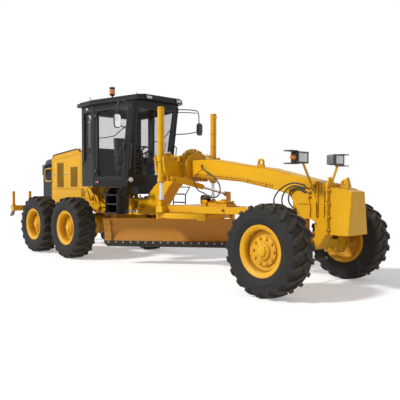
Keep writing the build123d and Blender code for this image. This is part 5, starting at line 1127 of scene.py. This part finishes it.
hood_pieces = []
for side in (1, -1):
    face = side * (HOOD_Y + 0.001)
    for x0, z0, z1 in LOUVRES:
        # pressed rim round the louvres
        hood_pieces.append(frame_of(
            [(x, face + side * 0.002, z)
             for x, z in ((x0 - 0.034, z0 - 0.03), (x0 + LOUVRE_W + 0.026, z0 - 0.03),
                          (x0 + LOUVRE_W + 0.026, z1 + 0.03), (x0 - 0.034, z1 + 0.03))],
            [(x, face + side * 0.002, z)
             for x, z in ((x0 - 0.024, z0 - 0.02), (x0 + LOUVRE_W + 0.016, z0 - 0.02),
                          (x0 + LOUVRE_W + 0.016, z1 + 0.02), (x0 - 0.024, z1 + 0.02))],
            (0, -side * 0.012, 0), machine_yellow))
        # folded fin of each louvre, and beside it a dark strip on the face: painted shade of the slot
        for k in range(9):
            x = x0 + k * 0.036
            hood_pieces.append(block((x + 0.002, face - side * 0.004, z0),
                                     (x + 0.015, face + side * 0.001, z1), seal_rubber, 0))
            hood_pieces.append(plate([(x + 0.015, face, z0), (x + 0.021, face + side * 0.006, z0),
                                      (x + 0.021, face + side * 0.006, z1), (x + 0.015, face, z1)],
                                     (0.003, 0, 0), machine_yellow, 0))
    # seams between the side doors, and the fold above the skirt
    for x, z0, z1 in ((-3.395, 1.50, 2.24), (-2.66, 1.50, 2.29), (-1.99, 1.50, 2.35)):
        hood_pieces.append(block((x - 0.003, face - side * 0.004, z0),
                                 (x + 0.003, face + side * 0.0006, z1), seal_rubber, 0))
    hood_pieces.append(block((-3.43, face - side * 0.004, FOLD_Z - 0.003),
                             (-1.52, face + side * 0.0006, FOLD_Z + 0.003), seal_rubber, 0))
    hood_pieces.append(bent_tube([(-3.40, face, hood_top(-3.40) - 0.035),
                                  (-1.94, face, hood_top(-1.94) - 0.035),
                                  (-1.53, face, 2.349)], 0.006, machine_yellow, sides=6))
    for x in (-3.267, -2.700):
        centre = (x, face, 1.86)
        hood_pieces += [
            drum(centre, (x, face + side * 0.014, 1.86),
                 [(0, 0.036), (0.5, 0.036), (0.8, 0.030), (1, 0.018)], chrome),
            block((x - 0.006, face + side * 0.010, 1.838), (x + 0.006, face + side * 0.020, 1.882),
                  black_plastic, 0.002),
        ]
    screw_x = np.concatenate([np.linspace(-3.38, -2.72, 5), np.linspace(-2.60, -2.05, 4)])
    screws = [(x, face, z) for x in screw_x for z in (1.515, hood_top(x) - 0.065)]
    hood_pieces.append(skin("screws", hex_heads(screws, (0, side, 0), 0.012, 0.006), nut_steel))
    # hinged lid rail along the hood's upper corner
    hood_pieces += [
        plate([(-3.44, side * 0.405, 2.262), (-3.38, side * 0.425, 2.350), (-2.22, side * 0.425, 2.452),
               (-2.10, side * 0.405, 2.376)], (0, -side * 0.10, 0), grey_cover, 0.012, 2),
        bent_tube([(-3.46, side * 0.425, 2.262), (-3.39, side * 0.438, 2.362), (-2.21, side * 0.438, 2.464),
                   (-2.06, side * 0.425, 2.376)], 0.014, black_plastic, bend=0.05),
        # grab handle round the radiator's corner
        bent_tube([(-3.430, side * 0.470, 2.010), (-3.520, side * 0.505, 2.020),
                   (-3.690, side * 0.512, 2.010), (-3.705, side * 0.512, 1.855),
                   (-3.690, side * 0.512, 1.700), (-3.520, side * 0.505, 1.690),
                   (-3.430, side * 0.470, 1.700)], 0.016, machine_yellow, bend=0.06),
    ]
# crosswise ribs of the lid between its rails
for x in np.linspace(-3.22, -2.28, 7):
    hood_pieces.append(block((x - 0.02, -0.33, np.interp(x, (-3.3, -2.2), (2.28, 2.385))),
                             (x + 0.02, 0.33, np.interp(x, (-3.3, -2.2), (2.345, 2.442))), grey_cover, 0.005))
hood_pieces.append(drum((-2.95, 0, 2.30), (-2.95, 0, 2.385),
                        [(0, 0.05), (0.5, 0.05), (0.6, 0.064), (0.95, 0.064), (1, 0.055)], black_plastic))
dress("hood_trim", hood_pieces, "rear_frame", "yellow_paint")

cowl_pieces = [
    plate([(-3.452, -0.45, 2.120), (-3.452, -0.45, 2.252), (-3.520, -0.45, 2.272), (-3.780, -0.45, 2.238),
           (-3.862, -0.45, 2.130)], (0, 0.90, 0), black_plastic, 0.014, 2),
    drum((-3.62, 0.18, 2.24), (-3.62, 0.18, 2.292), [(0, 0.055), (0.6, 0.055), (0.7, 0.062), (1, 0.056)],
         nut_steel),
]
for side in (1, -1):
    cowl_pieces += [
        block((-3.902, side * 0.425, 1.86), (-3.752, side * 0.492, 2.125), black_plastic, 0.010, 2),
        block((-3.916, side * 0.436, 1.875), (-3.898, side * 0.484, 1.985), red_lens, 0.005),
        block((-3.916, side * 0.436, 2.000), (-3.898, side * 0.484, 2.105), amber_lens, 0.005),
    ]
# cooling core seen through the guard: upright bars before a dark finned block
for y in np.linspace(-0.36, 0.36, 13):
    cowl_pieces.append(block((-3.925, y - 0.006, 1.30), (-3.913, y + 0.006, 2.06), charcoal, 0.003, 1))
for z in (1.33, 1.68, 2.03):
    cowl_pieces.append(block((-3.930, -0.385, z - 0.012), (-3.918, 0.385, z + 0.012), charcoal, 0.003, 1))
dress("radiator_cowl", cowl_pieces, "rear_frame", "dark_paint")

# ---- Rear frame details ----------------------------------------------------------------------
# Slatted side box ahead of the hood, slanted stiffeners on the articulation plates and bolts along
# those plates, the same on both sides.
rear_bits = []
for side in (1, -1):
    box_y = side * 0.560
    rear_bits += [
        block((-1.840, side * 0.47, 1.300), (-1.520, box_y, 1.545), machine_yellow, 0.008),
        *(block((x, box_y - side * 0.002, 1.325), (x + 0.014, box_y + side * 0.006, 1.520), seal_rubber,
                0.002, 1)
          for x in np.arange(-1.815, -1.54, 0.046)),
    ]
    for x0, z0, x1, z1 in ((-1.53, 1.50, -1.35, 1.25), (-1.30, 1.48, -1.12, 1.20),
                           (-1.10, 1.36, -0.95, 1.15)):
        slope = np.array((z0 - z1, 0, x1 - x0)) / hypot(x1 - x0, z1 - z0) * 0.010
        a, b = np.array((x0, side * 0.577, z0)), np.array((x1, side * 0.577, z1))
        rear_bits.append(plate([a - slope, b - slope, b + slope, a + slope], (0, side * 0.034, 0),
                               machine_yellow, 0.003))
    bolts = [(x, side * 0.576, z)
             for x, z in ((-1.60, 1.44), (-1.60, 1.30), (-1.60, 1.18), (-1.46, 1.18), (-1.26, 1.18),
                          (-1.04, 1.18), (-0.92, 1.04), (-0.86, 1.10), (-0.80, 1.24))]
    rear_bits.append(skin("bolts", hex_heads(bolts, (0, side, 0), 0.026, 0.016), machine_yellow))
dress("rear_frame_trim", rear_bits, "rear_frame", "yellow_paint")

# ---- Tandem drums ----------------------------------------------------------------------------
# Welded steel tandem cases that carry the rear wheels: a ring of bolts round each wheel's axle and,
# between the two, a cover plate bolted on, all sprayed yellow.
TANDEM_FACE_Y = 0.781
for side_name, side in zip(SIDES, (1, -1)):
    tandem_bits = []
    out = (0, side, 0)
    for axle_x in (AXLES["middle"], AXLES["rear"]):
        ring = circle_of(12, 0.205, (axle_x, side * TANDEM_FACE_Y, AXLE_Z), out)
        tandem_bits.append(skin("bolts", hex_heads(ring, out, 0.020, 0.012), machine_yellow))
    cover_x = sum((AXLES["middle"], AXLES["rear"])) / 2
    cover = [(cover_x + dx, side * TANDEM_FACE_Y, AXLE_Z + dz)
             for dx, dz in ((-0.24, -0.10), (0.24, -0.10), (0.24, 0.10), (-0.24, 0.10))]
    tandem_bits.append(plate(cover, (0, side * 0.012, 0), machine_yellow, 0.006, 2))
    cover_bolts = [(cover_x + dx, side * 0.793, AXLE_Z + dz)
                   for dx in (-0.21, 0, 0.21) for dz in (-0.075, 0.075)]
    tandem_bits.append(skin("bolts", hex_heads(cover_bolts, out, 0.016, 0.010), machine_yellow))
    dress(f"tandem_trim_{side_name}", tandem_bits, f"tandem_{side_name}", "yellow_paint")

# ---- Steps -----------------------------------------------------------------------------------
# Steps under each door, slanted at the top: a folded well with a back sheet on one side and an open
# ladder on the other, with toothed treads, a bracket up to the floor and a bent rail behind.
STEP_X = (-0.235, 0.180)
STEP_Y = (0.640, 0.928)
step_pieces = []
for side in (1, -1):
    inner, outer = side * STEP_Y[0], side * STEP_Y[1]
    lean = 0.150

    def cheek(x0, x1, z0, z1, shift0, shift1, y, push):
        """One cheek of the steps, each end shifted along the machine by its own amount."""
        return plate([(x0 + shift0, y, z0), (x1 + shift0, y, z0), (x1 + shift1, y, z1), (x0 + shift1, y, z1)],
                     (0, push, 0), charcoal, 0.004)

    thick, deep = (0.014, 0.285) if side < 0 else (0.008, 0.030)
    start = inner if side < 0 else outer - deep
    for x in STEP_X:
        step_pieces.append(cheek(x - thick, x + thick, 1.004, 1.375, 0, 0, start, side * deep))
        step_pieces.append(cheek(x - thick, x + thick, 1.365, 1.556, 0, lean, start, side * deep))
    for z in (1.004, 1.185, 1.372):
        step_pieces.append(block((STEP_X[0], start if side > 0 else inner, z),
                                 (STEP_X[1], outer, z + 0.022), charcoal, 0.005))
    step_pieces.append(block((STEP_X[0] + lean, inner, 1.535), (STEP_X[1] + lean, outer, 1.557), charcoal,
                             0.005))
    if side < 0:
        step_pieces.append(block((STEP_X[0], inner, 1.01), (STEP_X[1], inner + side * 0.006, 1.37),
                                 charcoal, 0))
    # grip teeth along each tread's lip
    for z in (1.028, 1.209, 1.396):
        for x in np.arange(STEP_X[0] + 0.03, STEP_X[1] - 0.02, 0.034):
            step_pieces.append(block((x, outer - side * 0.05, z - 0.004),
                                     (x + 0.020, outer - side * 0.030, z + 0.006), step_grey, 0.002, 1))
    step_pieces += [
        block((STEP_X[0], side * 0.572, 1.32), (STEP_X[0] + 0.055, side * 0.645, 1.556), charcoal, 0.006),
        bent_tube([(-0.235, side * 0.905, 1.345), (-0.296, side * 0.905, 1.350),
                   (-0.296, side * 0.905, 1.548),
                   (-0.235, side * 0.905, 1.552)], 0.013, black_plastic, bend=0.03),
    ]
dress("step_wells", step_pieces, "rear_frame", "dark_paint", "steps")

# ---- Blade-lift saddle details ---------------------------------------------------------------
# Bolt rings on the saddle and its lock plate, capped pins on the crank plates, and a block with
# three chromed ports on each side.


def capped_pin(centre, axis, radius, out):
    """Pin head: a stepped, chamfered cap with a keeper bolt, standing out from a face."""
    centre, axis = np.asarray(centre, float), np.asarray(axis, float)
    return [
        drum(centre, centre + axis * out,
             [(0, radius), (0.55, radius), (0.7, radius * 0.86), (1, radius * 0.80)], machine_yellow),
        drum(centre + axis * out * 0.9, centre + axis * (out * 1.25),
             [(0, radius * 0.30), (0.7, radius * 0.30), (1, radius * 0.2)], nut_steel, sides=6),
    ]


saddle_bits = []
SADDLE_FACE_X = 1.440
SADDLE_C = (SADDLE_FACE_X, 0, 1.935)
ring_axis = (1, 0, 0)
ring_bolts = circle_of(16, 0.245, (1.540, 0, 1.935), ring_axis)
saddle_bits.append(skin("bolts", hex_heads(ring_bolts, ring_axis, 0.026, 0.016), machine_yellow))
plate_bolts = circle_of(24, 0.326, SADDLE_C, ring_axis, 5)
saddle_bits.append(skin("bolts", hex_heads(plate_bolts, ring_axis, 0.020, 0.010), machine_yellow))
for side in (1, -1):
    for y, z in ((0.180, 2.215), (0.330, 1.990), (0.290, 2.130)):
        saddle_bits += capped_pin((SADDLE_FACE_X, side * y, z), (1, 0, 0), 0.034, 0.020)
    # capped pins and a block of ports beside each lift cylinder's trunnion
    saddle_bits += capped_pin((1.427, side * 0.540, 2.085), (1, 0, 0), 0.052, 0.022)
    saddle_bits += capped_pin((1.427, side * 0.435, 2.085), (1, 0, 0), 0.034, 0.018)
    saddle_bits.append(block((1.205, side * 0.48, 2.145), (1.375, side * 0.57, 2.185), machine_yellow,
                             0.010, 2))
    for x in (1.235, 1.290, 1.345):
        saddle_bits.append(drum((x, side * 0.525, 2.180), (x, side * 0.525, 2.215),
                                [(0, 0.016), (0.5, 0.016), (0.55, 0.012), (1, 0.012)], chrome, sides=12))
dress("saddle_trim", saddle_bits, "front_frame", "yellow_paint")

# ---- Cylinder details ------------------------------------------------------------------------
# Glands with wipers and bolt rings, end caps, port blocks with their lines, and two bands round the
# barrel of each lift cylinder.
LIFT_X, LIFT_Y = 1.290, 0.690
for side_name, side in zip(SIDES, (1, -1)):
    y = side * LIFT_Y
    lift_bits = [
        drum((LIFT_X, y, 1.640), (LIFT_X, y, 1.720),
             [(0, 0.058), (0.08, 0.066), (0.5, 0.071), (0.9, 0.071), (1, 0.063)], machine_yellow, 32),
        drum((LIFT_X, y, 3.020), (LIFT_X, y, 3.046), [(0, 0.0635), (0.6, 0.0635), (0.9, 0.058), (1, 0.030)],
             machine_yellow, 32),
        drum((LIFT_X, y, 1.632), (LIFT_X, y, 1.645), [(0, 0.040), (0.8, 0.044), (1, 0.044)], seal_rubber, 24),
        skin("bolts", hex_heads(circle_of(8, 0.056, (LIFT_X, y, 1.6405), (0, 0, -1)), (0, 0, -1), 0.010,
                                0.006), machine_yellow),
        # port blocks, each with a line along the barrel
        block((1.335, y - 0.020, 1.745), (1.375, y + 0.020, 1.785), machine_yellow, 0.006),
        block((1.335, y - 0.020, 2.945), (1.375, y + 0.020, 2.985), machine_yellow, 0.006),
        bent_tube([(1.360, y, 1.780), (1.362, y, 1.860), (1.362, y, 1.980)], 0.009, machine_yellow),
        bent_tube([(1.360, y, 2.950), (1.362, y, 2.860), (1.362, y, 2.190)], 0.009, machine_yellow),
        *(frame_of(turned([(0, 0.0665)], (LIFT_X, y, z), 20, (0, 0, 1))[0],
                   turned([(0, 0.0610)], (LIFT_X, y, z), 20, (0, 0, 1))[0], (0, 0, 0.016), machine_yellow)
          for z in (2.35, 2.62)),
    ]
    dress(f"lift_trim_{side_name}", lift_bits, f"lift_barrel_{side_name}", "yellow_paint")

# ---- Blade details ---------------------------------------------------------------------------
# Plough bolts along the moldboard's cutting edge, and at each end of it a bolted end bit that follows
# the hollow of the face.
BLADE_ORIGIN = np.array((1.4305, 0.0852))
BLADE_ALONG = np.array((0.775, 0.632))
BLADE_OUT = np.array((0.632, -0.775))
BLADE_ENDS = (-1.865, 1.840)


def on_blade(along, out, z):
    """Point this far along the blade, out from its face, and up."""
    spot = BLADE_ORIGIN + BLADE_ALONG * along + BLADE_OUT * out
    return (spot[0], spot[1], z)


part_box("moldboard")
front_axis = (BLADE_OUT[0], BLADE_OUT[1], 0)
edge_along = np.arange(BLADE_ENDS[0] + 0.09, BLADE_ENDS[1] - 0.05, 0.152)
edge_bolts = [on_blade(t, 0.0195, 0.452) for t in edge_along]
blade_bits = [skin("bolts", hex_heads(edge_bolts, front_axis, 0.030, 0.009), nut_steel)]
for end in (0, 1):
    edge_t = BLADE_ENDS[end]
    inward = 1 if end == 0 else -1
    # bolted end bit up the blade's edge: its plate follows the moldboard's curve
    heights = np.linspace(0.47, 0.925, 7)
    lean = 0.120 * (heights - 0.45) / 0.49
    hollow = 0.055 * (1 - ((heights - 0.695) / 0.245) ** 2).clip(0)
    face = lean - hollow
    rings = [[on_blade(edge_t + inward * 0.002, out + 0.002, z),
              on_blade(edge_t + inward * 0.150, out + 0.002, z),
              on_blade(edge_t + inward * 0.146, out + 0.016, z),
              on_blade(edge_t + inward * 0.006, out + 0.016, z)]
             for out, z in zip(face, heights)]
    blade_bits.append(skin("end_bit", rings, shaded_blade_yellow, sharp=40))
    bolts = [on_blade(edge_t + inward * t, out + 0.016, z) for out, z in zip(face[1::2], heights[1::2])
             for t in (0.035, 0.115)]
    blade_bits.append(skin("bolts", hex_heads(bolts, front_axis, 0.026, 0.010), shaded_blade_yellow))
dress("blade_trim", blade_bits, "blade", "yellow_paint")

# ---- Circle teeth ----------------------------------------------------------------------------
# Steel turning circle of the blade: teeth cut round its inside for the drive's pinion, and a ring of
# bolts on its top.
CIRCLE_AT = np.array((1.5, 0.0, 1.024))
TEETH = 64
turns = np.arange(TEETH) * 2 * pi / TEETH
tooth = np.array([(0.566, -0.026), (0.566, 0.026), (0.528, 0.011), (0.528, -0.011)])
tooth_rings = []
for turn in turns:
    radial, tangent = np.array((cos(turn), sin(turn), 0)), np.array((-sin(turn), cos(turn), 0))
    corners = CIRCLE_AT + tooth[:, :1] * radial + tooth[:, 1:] * tangent
    tooth_rings.append([corners - (0, 0, 0.030), corners + (0, 0, 0.030)])
circle_bits = [
    skin("teeth", tooth_rings, edge_steel, sharp=30),
    skin("bolts", hex_heads(circle_of(24, 0.640, CIRCLE_AT + (0, 0, 0.050), (0, 0, 1)), (0, 0, 1),
                            0.022, 0.012), machine_yellow),
]
dress("circle_teeth", circle_bits, "circle", "edge_steel")

# ---- Drawbar details -------------------------------------------------------------------------
# Fittings on the welded drawbar: bolted lid and cap of the circle's gearbox, its black drive motor,
# and a round red reflector on each side.
drawbar_bits = [
    block((2.10, -0.112, 1.276), (2.42, 0.112, 1.296), machine_yellow, 0.010, 2),
    skin("bolts", hex_heads([(x, y, 1.296) for x in (2.125, 2.205, 2.315, 2.395) for y in (-0.09, 0.09)],
                            (0, 0, 1), 0.020, 0.012), machine_yellow),
    drum((2.26, 0, 1.29), (2.26, 0, 1.335), [(0, 0.075), (0.6, 0.075), (0.8, 0.060), (1, 0.030)],
         machine_yellow),
    drum((1.69, 0, 1.340), (1.86, 0, 1.340),
         [(0, 0.052), (0.04, 0.064), (0.30, 0.064), (0.32, 0.060), (0.62, 0.060),
         (0.64, 0.066), (0.96, 0.066), (1, 0.058)], black_plastic),
]
for side in (1, -1):
    drawbar_bits.append(drum((2.55, side * 0.33, 1.15), (2.55, side * 0.36, 1.15),
                             [(0, 0.022), (0.8, 0.022), (1, 0.016)], red_lens))
dress("drawbar_trim", drawbar_bits, "drawbar", "yellow_paint")

# ---- Ripper details --------------------------------------------------------------------------
# Hooked points in worn steel on the shanks, a keeper plate each side with its pin, and a boss
# across the beam above each.
ripper_bits = []
for y in (-0.92, -0.46, 0.0, 0.46, 0.92):
    hook = [(-4.738, y - 0.034, 0.965), (-4.700, y - 0.034, 0.900), (-4.792, y - 0.034, 0.775),
            (-4.938, y - 0.034, 0.751), (-4.850, y - 0.034, 0.835), (-4.775, y - 0.034, 0.925)]
    ripper_bits += [
        plate(hook, (0, 0.068, 0), edge_steel, 0.008, 2),
        block((-4.775, y - 0.060, 0.930), (-4.690, y - 0.030, 1.070), machine_yellow, 0.006),
        block((-4.775, y + 0.030, 0.930), (-4.690, y + 0.060, 1.070), machine_yellow, 0.006),
        drum((-4.732, y - 0.080, 1.000), (-4.732, y + 0.080, 1.000),
             [(0, 0.014), (0.02, 0.017), (0.98, 0.017), (1, 0.014)], nut_steel, 12),
        drum((-4.730, y - 0.036, 1.395), (-4.730, y + 0.036, 1.395),
             [(0, 0.020), (0.1, 0.026), (0.9, 0.026), (1, 0.020)], machine_yellow, 14),
    ]
dress("ripper_trim", ripper_bits, "ripper", "yellow_paint")

# ---- Head and nose details -------------------------------------------------------------------
# Bolted joint of the nose weight: bolts along both edges of the flange, curved ribs welded on the
# head's cheeks, weld beads along the beam's edges and a pair of painted lines clamped to its side.
FLANGE_BACK_X, FLANGE_FRONT_X = 4.606, 4.636
FLANGE_BOLT_Y = 0.302
FLANGE_BOLT_Z = (0.94, 1.13, 1.32, 1.51)
BEAM_SIDE_Y = 0.151
head_bits = []
for side in (1, -1):
    bolts = [(FLANGE_BACK_X, side * FLANGE_BOLT_Y, z) for z in FLANGE_BOLT_Z]
    head_bits.append(skin("bolts", hex_heads(bolts, (-1, 0, 0), 0.034, 0.022), machine_yellow))
    nuts = [(FLANGE_FRONT_X, side * FLANGE_BOLT_Y, z) for z in FLANGE_BOLT_Z]
    head_bits.append(skin("nuts", hex_heads(nuts, (1, 0, 0), 0.034, 0.022), machine_yellow))
    edge_bolts = [(4.621, side * 0.331, z) for z in (0.93, 1.07, 1.21, 1.35, 1.49)]
    head_bits.append(skin("studs", hex_heads(edge_bolts, (0, side, 0), 0.020, 0.008), machine_yellow))
    # curved ribs
    for x0, x1, sag in ((4.150, 4.250, 0.05), (4.300, 4.380, 0.04)):
        heights = np.linspace(1.53, 1.10, 9)
        share = np.linspace(0, 1, 9)
        line = x0 + (x1 - x0) * share + sag * np.sin(pi * share)
        rings = [[(x - 0.010, side * 0.199, z), (x + 0.010, side * 0.199, z), (x + 0.008, side * 0.222, z),
                  (x - 0.008, side * 0.222, z)] for x, z in zip(line, heights)]
        head_bits.append(skin("rib", rings, machine_yellow, sharp=40))
    # beads at the flange and along the beam's upper and lower corners
    head_bits.append(bent_tube([(4.603, side * 0.203, 1.50), (4.603, side * 0.203, 1.10)], 0.007,
                               machine_yellow, sides=6))
    for run in (((2.082, 2.050), (2.830, 1.934), (3.389, 1.859), (3.860, 1.752)),
                ((1.60, 1.752), (2.831, 1.650), (3.601, 1.506), (3.855, 1.440))):
        head_bits.append(bent_tube([(x, side * BEAM_SIDE_Y, z) for x, z in run], 0.006, machine_yellow,
                                   sides=6, bend=0.1))
    # V-shaped doubler weld behind the bend of the beam
    head_bits.append(bent_tube([(1.62, side * 0.152, 2.03), (1.86, side * 0.152, 1.90),
                                (1.62, side * 0.152, 1.77)], 0.007, machine_yellow, sides=6, bend=0.02))
    # hydraulic lines in clamps
    for drop in (0.0, 0.030):
        head_bits.append(bent_tube([(1.72, side * 0.160, 1.800 - drop), (2.80, side * 0.160, 1.705 - drop),
                                    (3.50, side * 0.160, 1.590 - drop)], 0.007, machine_yellow,
                                   sides=8, bend=0.1))
    for x, z in ((1.95, 1.765), (2.45, 1.721), (2.95, 1.665), (3.35, 1.600)):
        head_bits.append(block((x - 0.014, side * 0.150, z - 0.032), (x + 0.014, side * 0.172, z + 0.036),
                               machine_yellow, 0.004, 1))
dress("head_trim", head_bits, "front_frame", "yellow_paint")

NOSE_FACE_X = 4.938
NOSE_OUTER = ((-0.262, 0.872), (0.262, 0.872), (0.180, 1.490), (-0.180, 1.490))
NOSE_INNER = ((-0.238, 0.900), (0.238, 0.900), (0.164, 1.466), (-0.164, 1.466))
nose_bits = [
    frame_of([(NOSE_FACE_X, y, z) for y, z in NOSE_OUTER], [(NOSE_FACE_X, y, z) for y, z in NOSE_INNER],
             (-0.012, 0, 0), machine_yellow),
]
for side in (1, -1):
    nose_bits.append(bent_tube([(4.655, side * 0.200, 1.562), (4.935, side * 0.172, 1.480)], 0.006,
                               machine_yellow, sides=6))
dress("nose_trim", nose_bits, "front_frame", "yellow_paint")

# ---- Front axle details ----------------------------------------------------------------------
# Steering joints: a rubber boot and a steel nut on the ball stud at each steering arm's tip, and a
# turned cap, sprayed yellow, over each kingpin.
ARM_TIP = (3.930, 0.750, 0.4687)
KINGPIN_Y, KINGPIN_TOP_Z = 0.85, 0.90
for side_name, side in zip(SIDES, (1, -1)):
    tip = np.array((ARM_TIP[0], side * ARM_TIP[1], ARM_TIP[2]))
    knuckle_bits = [
        drum(tip + (0, 0, 0.004), tip - (0, 0, 0.007),
             [(0, 0.026), (0.35, 0.030), (0.7, 0.028), (1, 0.022)], seal_rubber, 16),
        drum(tip + (0, 0, 0.028), tip + (0, 0, 0.052), [(0, 0.030), (0.5, 0.028), (1, 0.018)], nut_steel, 6),
        drum((AXLES["front"], side * KINGPIN_Y, KINGPIN_TOP_Z),
             (AXLES["front"], side * KINGPIN_Y, KINGPIN_TOP_Z + 0.03),
             [(0, 0.050), (0.5, 0.046), (1, 0.020)], machine_yellow),
    ]
    dress(f"steering_studs_{side_name}", knuckle_bits, f"knuckle_{side_name}", "edge_steel")
